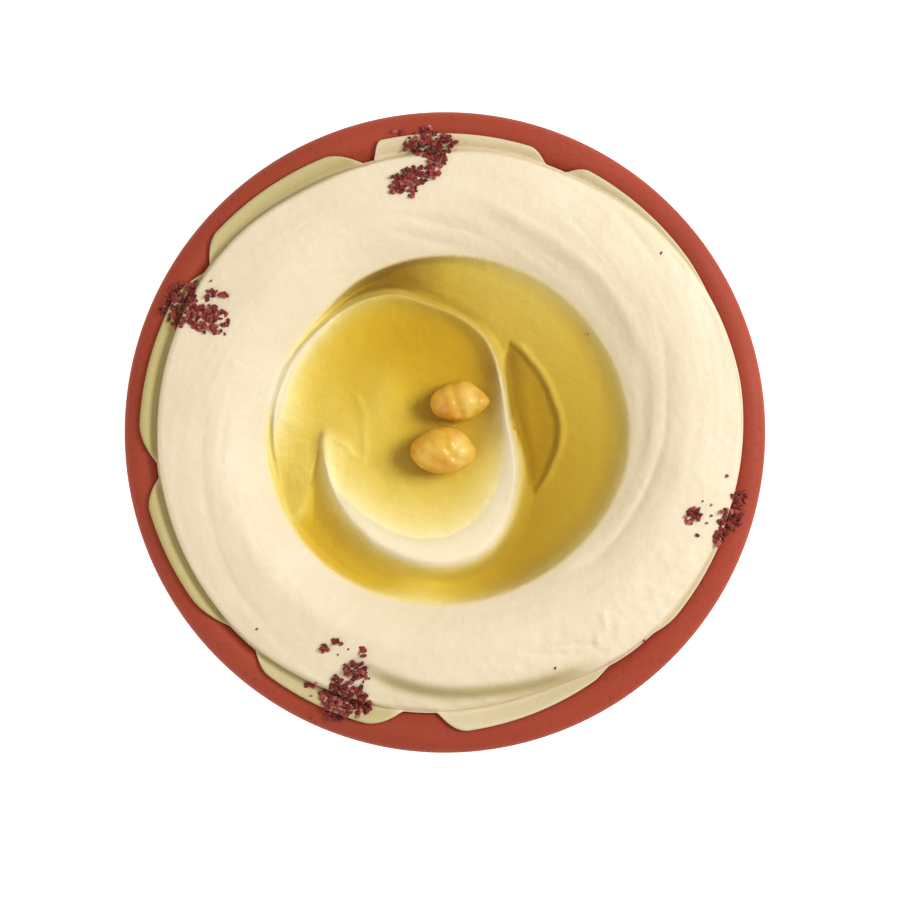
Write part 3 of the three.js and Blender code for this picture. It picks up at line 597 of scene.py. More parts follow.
def add_values(piece, name, values):
    """A named value from 0 to 1 at each vertex, for the material to read."""
    layer = piece.data.attributes.new(name, "FLOAT", "POINT")
    layer.data.foreach_set("value", np.clip(values, 0, 1).astype(np.float32))


print("mesh helpers ready")

# %% [markdown]
# ## The hummus
# The mesh follows the swirl: one ring of points runs along the ridge's crest and others lie
# close beside it, so the crest stays sharp. Underneath it follows the dish, a small gap away.

# %% The hummus
RAYS = 640
BOWL_RINGS, CHANNEL_RINGS, HILL_RINGS = 30, 40, 50


def guide_distance(turn):
    """Distance of the mesh's crest line from the swirl's centre; it closes past the ends."""
    start, end = 24, 336
    first, last = through(RIDGE, end, 1), through(RIDGE, start, 1)
    along = np.where(turn >= end, turn - end, turn + 360 - end)
    across = first + (last - first) * ease(along, 0, start + 360 - end)
    return np.where((turn > start) & (turn < end), through(RIDGE, turn, 1), across)


def well_spokes(rays):
    """Lines from the swirl's centre to the well's edge, and where each meets the crest."""
    bearing = np.arange(rays) * 360 / rays
    edge_x, edge_y = place_at(bearing, well_edge(bearing))
    dx, dy = edge_x - SWIRL_X, edge_y - SWIRL_Y
    return bearing, dx, dy, np.hypot(dx, dy), guide_distance(turn_of(dx, dy))


def well_points(spokes, distance, height):
    _, dx, dy, reach, _ = spokes
    x, y = SWIRL_X + dx * distance / reach, SWIRL_Y + dy * distance / reach
    return np.stack([x, y, height(x, y)], 1)


def at_bearings(bearing, radius, height):
    x, y = place_at(bearing, radius)
    return np.stack([x, y, np.broadcast_to(height, x.shape)], 1)


def hummus_rings():
    spokes = well_spokes(RAYS)
    bearing, _, _, reach, guide = spokes
    rings = [well_points(spokes, guide * s, finished_well)
             for s in np.linspace(0.04, 0.985, BOWL_RINGS)]
    rings += [well_points(spokes, guide + (reach - guide) * s, finished_well)
              for s in np.concatenate([[0, 0.012], np.linspace(0.03, 0.985, CHANNEL_RINGS)])]
    well, edge = well_edge(bearing), ring_edge(bearing)
    start = edge - RING["edge_round"]
    for share in np.linspace(0.004, 1, HILL_RINGS):
        radius = well + (start - well) * share
        relief = fine_relief(*place_at(bearing, radius))
        rings.append(at_bearings(bearing, radius, ring_height(bearing, radius) + relief))
    for share in (0.35, 0.65, 0.85, 0.96):
        radius = start + (edge - start) * share
        rings.append(at_bearings(bearing, radius, ring_height(bearing, radius)))
    # The thin lobes: their top, their rounded rim and the underside down to the dish's floor.
    lobe = smear_edge(bearing)
    for share in (0, 0.3, 0.6, 0.85):
        radius = edge + (lobe - 0.25 - edge) * share
        rings.append(at_bearings(bearing, radius, smear_top(radius) - 0.12 * share))
    rings.append(at_bearings(bearing, lobe - 0.12, dish_inside(lobe) + GAP + 0.72))
    rings.append(at_bearings(bearing, lobe, dish_inside(lobe) + GAP + 0.4))
    rings.append(at_bearings(bearing, lobe - 0.15, dish_inside(lobe - 0.15) + GAP + 0.05))
    for radius in (64.6, 61.5, 56, 46, 36, DISH["floor_radius"]):
        under = np.minimum(radius, lobe - 0.5)
        rings.append(at_bearings(bearing, under, dish_inside(under) + GAP))
    return rings


def hummus_points():
    x, y = np.array(SWIRL_X), np.array(SWIRL_Y)
    centre = np.array([SWIRL_X, SWIRL_Y, float(finished_well(x, y))])
    bottom = np.array([0, 0, DISH["floor_top"] + GAP])
    return ring_skin(centre, hummus_rings(), bottom)


points, faces = hummus_points()
hummus = new_piece("hummus_spread", points, faces)
print("hummus:", len(hummus.data.vertices), "points")

# %% [markdown]
# The colour of hummus changes with what is on it, and light and shade are painted into it too.
# Lobes that were smeared thin on the lip are soaked with oil and look olive, and the left lobes
# and the fold are given more olive as painted shade. Food in the well is wet up to a little above
# the oil, the crests that stand clear of it are painted brighter as painted light, and places that
# little light reaches are painted darker as painted shade.
# Each is stored at the mesh's points as a value that the material reads, so it stays put.

# %% Values for the hummus's colour
def oily_smears_and_painted_shade(x, y):
    # Each lobe's olive amount is higher on the left lobes as painted shade where the ring's shadow falls.
    radius, bearing = np.hypot(x, y), bearing_of(x, y)
    oily = np.zeros_like(radius)
    for first, last, _, _, _, _, amount in SMEARS:
        inside = ease(bearing, first - 1, first + 3) * ease(-bearing, -last - 1, 3 - last)
        oily = np.maximum(oily, amount * inside)
    oily = oily * ease(radius, ring_edge(bearing) - 0.5, ring_edge(bearing) + 0.3)
    # Along the fold the olive is painted shade on the ring's downward face.
    off, strength = stroke_at(FOLD, bearing, radius)
    return np.maximum(oily, 0.7 * strength * hump(off + 1.0, 1.7))


# A narrow slit beside the tail of the swirl, where two folds of food nearly meet; it gets painted shade.
SLIT = {"path": [(-27.1, -0.3), (-27.9, -5.5), (-29.0, -11.2)], "width": 0.5}


# The turns at which each place of painted shade begins, is full, begins to fade and ends.
PAINTED_SHADE_TURNS = {
    "slot": (52, 68, 84, 122), "furrow": (70, 84, 120, 146), "shelf": (84, 104, 225, 262),
    "ridge": (56, 74, 205, 232),
}


def painted_shade_places(x, y):
    """How much painted shade each place gets: the slot at the top of the well, the furrow, the
    shelf, the leaf, the fold and the slit get little light and are painted darker, and the far
    side of the ridge is painted gradually darker."""
    dx, dy = x - SWIRL_X, y - SWIRL_Y
    turn = turn_of(dx, dy)
    outside = np.hypot(dx, dy) - through(RIDGE, turn, 1)
    under = ease(inside_well(x, y), -0.3, 0.5)
    low = ease(turn, 150, 225)
    amounts = {
        "slot": ease(outside, 0.5, 1.8) * (0.55 + 0.45 * ease(turn, 62, 84)),
        "furrow": hump(outside - FURROW["outside"], FURROW["width"]) * 0.6,
        "shelf": ease(outside, 0.8, 3) * (0.3 + 0.2 * low),
        "ridge": hump(outside - 0.5, 1.8) * (0.36 - 0.1 * low),
    }
    painted_shade = [between(turn, *PAINTED_SHADE_TURNS[name]) * amount * under for name, amount in amounts.items()]
    share = leaf_share(turn, outside)
    rim = 4 * share * (1 - share) * (0.2 + 0.15 * (1 - ease(turn, 142, 164)))
    painted_shade.append(share * (0.74 - 0.58 * ease(outside, 3, 7)) + rim)
    off, strength = stroke_at(FOLD, bearing_of(x, y), np.hypot(x, y))
    painted_shade.append(0.3 * strength * hump(off + 0.6, 1.5))
    painted_shade.append(0.45 * hump(distance_to_path(x, y, SLIT["path"]), SLIT["width"]))
    return np.maximum.reduce(painted_shade)


x, y, z = points.T
in_well, above = ease(inside_well(x, y), -1.2, 0), z - OIL_LEVEL
# The crest value is painted light on the food above the oil; the dim places get painted shade, and the
# oily value is partly painted shade.
HUMMUS_VALUES = {
    "oily": oily_smears_and_painted_shade(x, y),
    "painted_shade": painted_shade_places(x, y),
    "wet": in_well * (1 - ease(above, -0.4, 1.0)),
    "crest": in_well * ease(above, 0.1, 0.9),
}
for name, values in HUMMUS_VALUES.items():
    add_values(hummus, name, values)
print("values stored:", list(HUMMUS_VALUES))

# %% [markdown]
# ## The chickpeas
# A cooked chickpea is a plump, knobbly egg with a beak at one end. Its outline seen from above
# is a few stations of angle and radius. An icosphere has points of even spacing, so pushing
# them out to that outline, and in along the creases, gives a smooth skin without poles. The
# skin is painted pale on the facet that faces the light, as painted light, and a deeper orange
# on the side away from it, as painted shade.

# %% The chickpeas
CREASE_DEPTH = 1.5  # all creases are this many times as deep as the depths below
KNOB_HEIGHT = 0.03  # as a share of the chickpea's size

# Place of the middle, height, outline as angle and radius, creases as path, depth and width,
# and the pale patch of painted light and the deep patch of painted shade as middle and half sizes.
CHICKPEAS = {
    "chickpea_1": dict(
        x=3.1, y=6.9, height=8.8,
        outline=[(0, 6.7), (16, 5.8), (33, 5), (56, 4.7), (82, 4.45), (108, 4.3), (141, 4.6),
                 (161, 5.6), (180, 6.3), (204, 6.2), (220, 5.6), (242, 4.7), (270, 4.4),
                 (296, 4.5), (322, 4.8), (342, 5.9)],
        creases=[([(-1.8, 4.2), (-0.9, 0.6), (0.9, -4.0)], 0.35, 1.0),
                 ([(3.4, 2.4), (3.9, -0.5), (3.0, -3.0)], 0.3, 0.7),
                 ([(-4.8, 2.2), (-3.2, 0.4), (-3.6, -2.2)], 0.2, 0.9)],
        painted_light_patch=(2.3, 0.5, 1.7, 2.8), painted_shade_patch=(-3.4, -1.6, 3.0, 3.2)),
    "chickpea_2": dict(
        x=-0.3, y=-3.9, height=9.2,
        outline=[(0, 7.1), (16, 6.3), (42, 5.8), (60, 5.5), (83, 5.3), (108, 5.3), (127, 5.4),
                 (147, 5.8), (161, 6.6), (176, 7.2), (192, 7.2), (210, 6.5), (240, 5.5),
                 (266, 5.1), (292, 5.1), (315, 5.6), (338, 6.7)],
        creases=[([(2.6, 4.8), (3.2, 1.6), (2.0, -1.4)], 0.28, 0.9),
                 ([(0.8, 0.2), (3.0, -2.0), (5.2, -2.6)], 0.25, 0.8),
                 ([(-5.0, -0.2), (-2.8, -1.9), (-0.2, -2.8)], 0.2, 0.8),
                 ([(-4.6, 3.2), (-3.0, 1.5)], 0.25, 0.9)],
        painted_light_patch=(3.6, 0.4, 1.5, 3.6), painted_shade_patch=(0.0, -3.0, 3.2, 1.9)),
}


def unit_ball(subdivisions):
    ball = bmesh.new()
    bmesh.ops.create_icosphere(ball, subdivisions=subdivisions, radius=1)
    points = np.array([v.co[:] for v in ball.verts])
    faces = [[v.index for v in f.verts] for f in ball.faces]
    ball.free()
    return points / np.linalg.norm(points, axis=1)[:, None], faces


def chickpea_reach(pea, azimuth):
    return through(closed(pea["outline"]), azimuth)


def chickpea_points(pea):
    ball, faces = unit_ball(6)
    x, y, z = ball.T
    reach = chickpea_reach(pea, bearing_of(x, y))
    knobs = lattice_noise(x * 2.4 + 50, y * 2.4 + z * 2.0 + 50, 12)
    size = 1 + KNOB_HEIGHT * knobs * (0.3 + 0.7 * np.abs(z))
    px, py = x * reach * size, y * reach * size
    pz = z * size * pea["height"] * 0.5
    for path, depth, width in pea["creases"]:
        away = distance_to_path(px, py, path)
        pz -= CREASE_DEPTH * depth * hump(away, width) * ease(z, 0, 0.5)
    return np.stack([px, py, pz], 1), faces


def patch(points, oval):
    """1 in the middle of an oval patch, given by its middle and half sizes, 0 outside it."""
    x, y, half_x, half_y = oval
    away = ((points[:, 0] - x) / half_x) ** 2 + ((points[:, 1] - y) / half_y) ** 2
    return np.exp(-away) * ease(points[:, 2], 0, 1)


chickpeas = []
for name, pea in CHICKPEAS.items():
    points, faces = chickpea_points(pea)
    # Patches of painted light on the facet facing the light and painted shade on the side away from it.
    painted_light_patch, painted_shade_patch = patch(points, pea["painted_light_patch"]), patch(points, pea["painted_shade_patch"])
    low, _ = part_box(name)
    points += [pea["x"], pea["y"], low.z / MM - points[:, 2].min()]
    chickpea = new_piece(name.replace("chickpea", "cooked_chickpea"), points, faces)
    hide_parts(name)
    add_values(chickpea, "painted_light_patch", painted_light_patch)
    add_values(chickpea, "painted_shade_patch", painted_shade_patch)
    chickpeas.append(chickpea)
print("chickpeas:", [c.name for c in chickpeas])

# %% [markdown]
# ## The olive oil
# Oil finds its own level, so its top is flat, apart from a small climb where it wets what it
# touches. Its underside follows the swirl just inside the hummus, so no air is trapped between
# them and light goes straight from one to the other.

# %% The oil
OIL_RAYS = 360
# How far the oil climbs at its shore and at a chickpea, and how fast the climb dies away.
CLIMB, CLIMB_DEPTH = 0.15, 0.5
PEA_CLIMB, PEA_CLIMB_WIDTH = 0.4, 0.7
OIL_SINK = 0.15  # how far its underside lies inside the hummus


def oil_top(x, y):
    depth = OIL_LEVEL - finished_well(x, y)
    wet = CLIMB * np.exp(-np.maximum(depth, 0) / CLIMB_DEPTH)
    for pea in CHICKPEAS.values():
        dx, dy = x - pea["x"], y - pea["y"]
        gap = np.hypot(dx, dy) - 0.97 * chickpea_reach(pea, bearing_of(dx, dy))
        wet = np.maximum(wet, PEA_CLIMB * np.exp(-np.maximum(gap, 0) / PEA_CLIMB_WIDTH))
    return OIL_LEVEL + np.where(depth < 0, CLIMB, wet)


def oil_bottom(x, y):
    return np.minimum(finished_well(x, y), OIL_LEVEL) - OIL_SINK


def oil_points():
    spokes = well_spokes(OIL_RAYS)
    _, _, _, reach, guide = spokes
    distances = [guide * s for s in np.linspace(0.05, 0.98, 34)]
    distances += [guide + (reach - guide) * s for s in np.linspace(0, 1, 40)]
    distances += [reach + 0.5, reach + 1.1]
    over = [well_points(spokes, d, oil_top) for d in distances]
    under = [well_points(spokes, d, oil_bottom) for d in reversed(distances)]
    x, y = np.array(SWIRL_X), np.array(SWIRL_Y)
    first = np.array([SWIRL_X, SWIRL_Y, float(oil_top(x, y))])
    last = np.array([SWIRL_X, SWIRL_Y, float(oil_bottom(x, y))])
    return ring_skin(first, over + under, last)


oil = new_piece("oil", *oil_points())
print("oil:", len(oil.data.vertices), "points")

# %% [markdown]
# ## The clay dish
# A thrown dish is a profile turned about an axis, which is a rule, so Geometry Nodes make it.
# The profile is a line of points; the tree lays a grid with one column for each of them and
# bends it into a full turn. The number of steps round is an input, so the same tree serves a
# rough or a fine dish.

# %% Geometry Nodes helpers
def new_tree(name, inputs):
    tree = bpy.data.node_groups.new(name, "GeometryNodeTree")
    tree.interface.new_socket("Geometry", in_out="INPUT", socket_type="NodeSocketGeometry")
    for label, kind, value in inputs:
        socket = tree.interface.new_socket(label, in_out="INPUT", socket_type=kind)
        if value is not None:
            socket.default_value = value
    tree.interface.new_socket("Geometry", in_out="OUTPUT", socket_type="NodeSocketGeometry")
    return tree, tree.nodes.new("NodeGroupInput"), tree.nodes.new("NodeGroupOutput")


def add_node(tree, kind, **settings):
    node = tree.nodes.new(kind)
    for key, value in settings.items():
        setattr(node, key, value)
    return node


def math_node(tree, operation, first, second=None):
    """A Math node whose inputs are sockets or plain numbers."""
    node = add_node(tree, "ShaderNodeMath", operation=operation)
    for socket, value in zip(node.inputs, (first, second)):
        if isinstance(value, bpy.types.NodeSocket):
            tree.links.new(value, socket)
        elif value is not None:
            socket.default_value = value
    return node.outputs[0]


def run_tree(piece, tree, values):
    """Runs the tree on the piece and keeps the result as a plain mesh."""
    modifier = piece.modifiers.new("nodes", "NODES")
    modifier.node_group = tree
    for item in tree.interface.items_tree:
        if item.in_out == "INPUT" and item.name in values:
            modifier[item.identifier] = values[item.name]
    bpy.context.view_layer.update()
    evaluated = piece.evaluated_get(bpy.context.evaluated_depsgraph_get())
    mesh = bpy.data.meshes.new_from_object(evaluated)
    piece.modifiers.remove(modifier)
    piece.data = mesh
    mesh.name = piece.name
    return piece


print("node helpers ready")

# %% The dish's profile
# The foot's rounded edges: distance out from its inner or its outer radius, height.
FOOT_INNER_EDGE = [(-0.9, 0.6), (-0.3, 0.1), (0.4, 0)]
FOOT_OUTER_EDGE = [(-0.5, 0), (-0.1, 0.15), (0.1, 0.6), (0.35, 2.2)]


def dish_profile():
    """Radius and height of the section, from the middle of the underside round to the inside."""
    recess, inner, outer = DISH["foot_recess"], DISH["foot_inner"], DISH["foot_outer"]
    line = [(0, recess), (inner - 2.4, recess), (inner - 1.7, recess - 0.2)]
    line += [(inner + out, z) for out, z in FOOT_INNER_EDGE]
    line += [(outer + out, z) for out, z in FOOT_OUTER_EDGE]
    for inside in np.linspace(outer, DISH["lip_start"] - 1.5, 16):
        slope = float(dish_inside(inside + 0.1) - dish_inside(inside - 0.1)) / 0.2
        tilt = math.atan(slope)
        z = float(dish_inside(inside))
        line.append((inside + DISH["wall"] * math.sin(tilt), z - DISH["wall"] * math.cos(tilt)))
    half_width, half_height = DISH["lip_half_width"], DISH["lip_half_height"]
    widest = cad_box[1][0] / MM  # the lip stays inside the CAD box
    end = math.degrees(math.acos((DISH["lip_start"] - DISH["lip_middle"]) / half_width))
    for angle in np.radians(np.linspace(-38, end, 22)):
        line.append((min(DISH["lip_middle"] + half_width * math.cos(angle), widest),
                     DISH["height"] - half_height + half_height * math.sin(angle)))
    for radius in np.linspace(DISH["lip_start"], DISH["floor_radius"], 26)[1:]:
        line.append((radius, float(dish_inside(radius))))
    line += [(18, DISH["floor_top"]), (9, DISH["floor_top"]), (0, DISH["floor_top"])]
    return line


print("profile points:", len(dish_profile()))

# %% Turn the profile into a dish
def turning_tree():
    tree, given, result = new_tree("turn_profile", [
        ("Steps Round", "NodeSocketInt", 96),
        ("Material", "NodeSocketMaterial", None),
    ])
    link = tree.links.new
    count = add_node(tree, "GeometryNodeAttributeDomainSize", component="MESH")
    link(given.outputs["Geometry"], count.inputs["Geometry"])
    grid = add_node(tree, "GeometryNodeMeshGrid")
    link(math_node(tree, "ADD", given.outputs["Steps Round"], 1), grid.inputs["Vertices X"])
    link(count.outputs["Point Count"], grid.inputs["Vertices Y"])
    index = add_node(tree, "GeometryNodeInputIndex").outputs[0]
    row = math_node(tree, "MODULO", index, count.outputs["Point Count"])
    column = math_node(tree, "FLOOR", math_node(tree, "DIVIDE", index, count.outputs["Point Count"]))
    angle = math_node(tree, "DIVIDE", math_node(tree, "MULTIPLY", column, math.tau),
                      given.outputs["Steps Round"])
    sample = add_node(tree, "GeometryNodeSampleIndex", data_type="FLOAT_VECTOR", domain="POINT")
    link(given.outputs["Geometry"], sample.inputs["Geometry"])
    link(add_node(tree, "GeometryNodeInputPosition").outputs[0], sample.inputs["Value"])
    link(row, sample.inputs["Index"])
    split = add_node(tree, "ShaderNodeSeparateXYZ")
    link(sample.outputs["Value"], split.inputs[0])
    join = add_node(tree, "ShaderNodeCombineXYZ")
    for axis, operation in (("X", "COSINE"), ("Y", "SINE")):
        share = math_node(tree, operation, angle)
        link(math_node(tree, "MULTIPLY", split.outputs["X"], share), join.inputs[axis])
    link(split.outputs["Z"], join.inputs["Z"])
    move = add_node(tree, "GeometryNodeSetPosition")
    link(grid.outputs["Mesh"], move.inputs["Geometry"])
    link(join.outputs[0], move.inputs["Position"])
    merge = add_node(tree, "GeometryNodeMergeByDistance")
    merge.inputs["Distance"].default_value = 1e-6
    smooth = add_node(tree, "GeometryNodeSetShadeSmooth")
    real = add_node(tree, "GeometryNodeRealizeInstances")
    paint = add_node(tree, "GeometryNodeSetMaterial")
    link(given.outputs["Material"], paint.inputs["Material"])
    chain = [move, merge, smooth, real, paint, result]
    for first, second in zip(chain, chain[1:]):
        link(first.outputs[0], second.inputs[0])
    return tree


def profile_object(name, line):
    mesh = bpy.data.meshes.new(name)
    corners = [(x * MM, 0, z * MM) for x, z in line]
    mesh.from_pydata(corners, [(i, i + 1) for i in range(len(corners) - 1)], [])
    piece = bpy.data.objects.new(name, mesh)
    bpy.context.scene.collection.objects.link(piece)
    return piece


print("tree for turned pieces ready")

# %% [markdown]
# ## Materials
# Each finish is a Principled BSDF with procedural detail. Grain is wanted in most of them, so it
# is one node group: noise at a chosen scale, given out as a value from 0 to 1 and as a mask
# that picks out its highest places as spots.

# %% Material helpers
def grain_group():
    group = bpy.data.node_groups.new("food_grain", "ShaderNodeTree")
    for label, value in (("Scale", 400.0), ("Detail", 4.0)):
        socket = group.interface.new_socket(label, in_out="INPUT", socket_type="NodeSocketFloat")
        socket.default_value = value
    group.interface.new_socket("Value", in_out="OUTPUT", socket_type="NodeSocketFloat")
    group.interface.new_socket("Spots", in_out="OUTPUT", socket_type="NodeSocketFloat")
    given, result = group.nodes.new("NodeGroupInput"), group.nodes.new("NodeGroupOutput")
    where = group.nodes.new("ShaderNodeTexCoord")
    noise = group.nodes.new("ShaderNodeTexNoise")
    spots = group.nodes.new("ShaderNodeMapRange")
    spots.inputs["From Min"].default_value = 0.56
    spots.inputs["From Max"].default_value = 0.72
    group.links.new(where.outputs["Object"], noise.inputs["Vector"])
    group.links.new(given.outputs["Scale"], noise.inputs["Scale"])
    group.links.new(given.outputs["Detail"], noise.inputs["Detail"])
    group.links.new(noise.outputs["Fac"], spots.inputs["Value"])
    group.links.new(noise.outputs["Fac"], result.inputs["Value"])
    group.links.new(spots.outputs["Result"], result.inputs["Spots"])
    return group


GRAIN = grain_group()


class Finish:
    """A material with a Principled BSDF and short ways to add nodes to it."""

    def __init__(self, name, roughness, **sockets):
        self.material = bpy.data.materials.new(name)
        self.material.use_nodes = True
        self.tree = self.material.node_tree
        self.bsdf = self.tree.nodes["Principled BSDF"]
        self.output = self.tree.nodes["Material Output"]
        self.bsdf.inputs["Roughness"].default_value = roughness
        for socket, value in sockets.items():
            self.bsdf.inputs[socket.replace("_", " ")].default_value = value

    def link(self, first, second):
        self.tree.links.new(first, second)

    def grain(self, scale, detail, output="Value"):
        node = self.tree.nodes.new("ShaderNodeGroup")
        node.node_tree = GRAIN
        node.inputs["Scale"].default_value = scale
        node.inputs["Detail"].default_value = detail
        return node.outputs[output]

    def attribute(self, name):
        node = self.tree.nodes.new("ShaderNodeAttribute")
        node.attribute_name = name
        return node.outputs["Fac"]

    def ramp(self, value, stops):
        node = self.tree.nodes.new("ShaderNodeValToRGB")
        elements = node.color_ramp.elements
        while len(elements) < len(stops):
            elements.new(0.5)
        for element, (position, color) in zip(elements, stops):
            element.position = position
            element.color = (*color, 1)
        self.link(value, node.inputs["Fac"])
        return node.outputs["Color"]

    def mix(self, factor, first, second):
        node = self.tree.nodes.new("ShaderNodeMix")
        node.data_type = "RGBA"
        sockets = (node.inputs["Factor"], node.inputs[6], node.inputs[7])
        for socket, value in zip(sockets, (factor, first, second)):
            if isinstance(value, bpy.types.NodeSocket):
                self.link(value, socket)
            elif isinstance(value, tuple):
                socket.default_value = (*value, 1)
            else:
                socket.default_value = value
        return node.outputs[2]

    def scale(self, value, low, high):
        node = self.tree.nodes.new("ShaderNodeMapRange")
        node.inputs["To Min"].default_value = low
        node.inputs["To Max"].default_value = high
        self.link(value, node.inputs["Value"])
        return node.outputs["Result"]

    def color(self, value):
        self.link(value, self.bsdf.inputs["Base Color"])

    def roughness(self, value):
        self.link(value, self.bsdf.inputs["Roughness"])

    def bump(self, height, strength, distance, before=None):
        node = self.tree.nodes.new("ShaderNodeBump")
        node.inputs["Strength"].default_value = strength
        node.inputs["Distance"].default_value = distance
        self.link(height, node.inputs["Height"])
        if before is not None:
            self.link(before, node.inputs["Normal"])
        self.link(node.outputs["Normal"], self.bsdf.inputs["Normal"])
        return node.outputs["Normal"]


print("grain group made:", GRAIN.name)

# %% [markdown]
# Red clay is fired earth: its colour wanders a little from place to place, fine sand shows as
# specks, and the thrown surface has a faint tooth. It is nearly matt.

# %% Clay
CLAY_COLORS = [(0.3, (0.35, 0.050, 0.024)), (0.7, (0.40, 0.062, 0.031))]
CLAY_SPECK = (0.22, 0.03, 0.017)


def clay_material():
    clay = Finish("red_clay", 0.55, Specular_IOR_Level=0.22)
    broad = clay.ramp(clay.grain(28, 3), CLAY_COLORS)
    specks = clay.scale(clay.grain(900, 2, output="Spots"), 0, 0.35)
    clay.color(clay.mix(specks, broad, CLAY_SPECK))
    clay.roughness(clay.scale(clay.grain(160, 3), 0.48, 0.66))
    clay.bump(clay.grain(750, 4), 0.35, 0.00025)
    return clay.material


print("clay made")

# %% [markdown]
# Hummus is a pale, opaque paste with a faint sheen of its own oil, and its gloss wanders a
# little with its grain. Values stored at its points tint it one after the other: oil on the lobes,
# wet food in the well, the crests above the oil brightened as painted light, and painted shade in
# places that little light reaches; the lobes' olive is partly painted shade too.

# %% Hummus
HUMMUS_COLORS = [(0.3, (0.86, 0.735, 0.53)), (0.7, (0.90, 0.785, 0.588))]
HUMMUS_SPECK = (0.72, 0.56, 0.33)
# The pale crest tint is painted light, the dark brown tint is painted shade, and the olive tint is partly
# painted shade.
HUMMUS_TINTS = {
    "oily": (0.49, 0.41, 0.14), "wet": (0.84, 0.725, 0.37), "crest": (0.96, 0.85, 0.60),
    "painted_shade": (0.36, 0.255, 0.12),
}


def hummus_material():
    spread = Finish("spread_hummus", 0.5, Specular_IOR_Level=0.4)
    base = spread.ramp(spread.grain(60, 4), HUMMUS_COLORS)
    specks = spread.scale(spread.grain(1300, 2, output="Spots"), 0, 0.18)
    tinted = spread.mix(specks, base, HUMMUS_SPECK)
    for name, tint in HUMMUS_TINTS.items():
        tinted = spread.mix(spread.attribute(name), tinted, tint)
    spread.color(tinted)
    spread.roughness(spread.scale(spread.grain(300, 3), 0.38, 0.6))
    fine = spread.bump(spread.grain(1500, 3), 0.3, 0.0002)
    spread.bump(spread.grain(420, 4), 0.35, 0.0005, before=fine)
    return spread.material


print("hummus finish made")

# %% [markdown]
# Olive oil is clear and golden because it takes blue out of the light that goes through it, the
# more the deeper it is. Volume Absorption does just that. Straight shadows pass through it, so
# that the hummus under it is lit.

# %% Olive oil
OIL_ABSORPTION = {"color": (0.88, 0.78, 0.0), "per_metre": 330}


def oil_material():
    oily = Finish("olive_oil", 0.0, Transmission_Weight=1.0, IOR=1.35)
    oily.bsdf.inputs["Base Color"].default_value = (1, 1, 1, 1)
    absorb = oily.tree.nodes.new("ShaderNodeVolumeAbsorption")
    absorb.inputs["Color"].default_value = (*OIL_ABSORPTION["color"], 1)
    absorb.inputs["Density"].default_value = OIL_ABSORPTION["per_metre"]
    oily.link(absorb.outputs[0], oily.output.inputs["Volume"])
    path = oily.tree.nodes.new("ShaderNodeLightPath")
    clear = oily.tree.nodes.new("ShaderNodeBsdfTransparent")
    either = oily.tree.nodes.new("ShaderNodeMixShader")
    oily.link(path.outputs["Is Shadow Ray"], either.inputs["Fac"])
    oily.link(oily.bsdf.outputs[0], either.inputs[1])
    oily.link(clear.outputs[0], either.inputs[2])
    oily.link(either.outputs[0], oily.output.inputs["Surface"])
    return oily.material


print("oil absorbs", OIL_ABSORPTION["per_metre"], "per metre")

# %% [markdown]
# A cooked chickpea has a thin wet skin over flesh that glows, so a little light goes under its
# skin, and oil gives it a glossy coat.

# %% Chickpea
PEA_COLORS = [(0.36, (0.70, 0.325, 0.024)), (0.64, (0.84, 0.54, 0.065))]
# Colours of the skin's painted shade patch and painted light patch.
PEA_PAINTED_SHADE, PEA_PAINTED_LIGHT = (0.70, 0.27, 0.02), (0.95, 0.78, 0.30)


def chickpea_material():
    pea = Finish("cooked_chickpea", 0.4, Specular_IOR_Level=0.3, Subsurface_Weight=0.2,
                 Subsurface_Radius=(1.0, 0.5, 0.12), Subsurface_Scale=0.0015,
                 Coat_Weight=0.4, Coat_Roughness=0.14)
    skin = pea.ramp(pea.grain(170, 3), PEA_COLORS)
    # A deeper orange as painted shade on the side away from the light, then pale yellow as painted light
    # on the facet facing it.
    with_painted_shade = pea.mix(pea.scale(pea.attribute("painted_shade_patch"), 0, 0.4), skin, PEA_PAINTED_SHADE)
    pea.color(pea.mix(pea.scale(pea.attribute("painted_light_patch"), 0, 0.45), with_painted_shade, PEA_PAINTED_LIGHT))
    pea.roughness(pea.scale(pea.grain(400, 2), 0.34, 0.55))
    pea.bump(pea.grain(260, 3), 0.3, 0.0006)
    return pea.material


print("chickpea finish made")

# %% [markdown]
# Sumac is a dried, crushed berry: dark red flakes, some nearly black, and some pink as painted
# highlights where the skin catches the light. A random value stored on each flake picks its
# shade, so the painted highlights fall at random.

# %% Sumac
# The last, pink stop is a painted highlight.
SUMAC_SHADES = [
    (0.0, (0.085, 0.010, 0.009)), (0.4, (0.22, 0.024, 0.020)),
    (0.8, (0.38, 0.06, 0.05)), (1.0, (0.60, 0.22, 0.20)),
]


def sumac_material():
    berry = Finish("sumac", 0.5, Specular_IOR_Level=0.35)
    berry.color(berry.ramp(berry.attribute("shade"), SUMAC_SHADES))
    berry.bump(berry.grain(1800, 3), 0.5, 0.0002)
    return berry.material


print("sumac finish made")

# %% [markdown]
# The dish can be turned now that its material exists. The tree sets the material itself.

# %% Make the dish
clay_dish = profile_object("clay_dish", dish_profile())
run_tree(clay_dish, turning_tree(), {"Steps Round": 256, "Material": clay_material()})
for piece, material in ((hummus, hummus_material()), (oil, oil_material())):
    piece.data.materials.append(material)
pea_skin = chickpea_material()
for chickpea in chickpeas:
    chickpea.data.materials.append(pea_skin)
print("dish:", len(clay_dish.data.vertices), "points,", len(clay_dish.data.materials), "material")
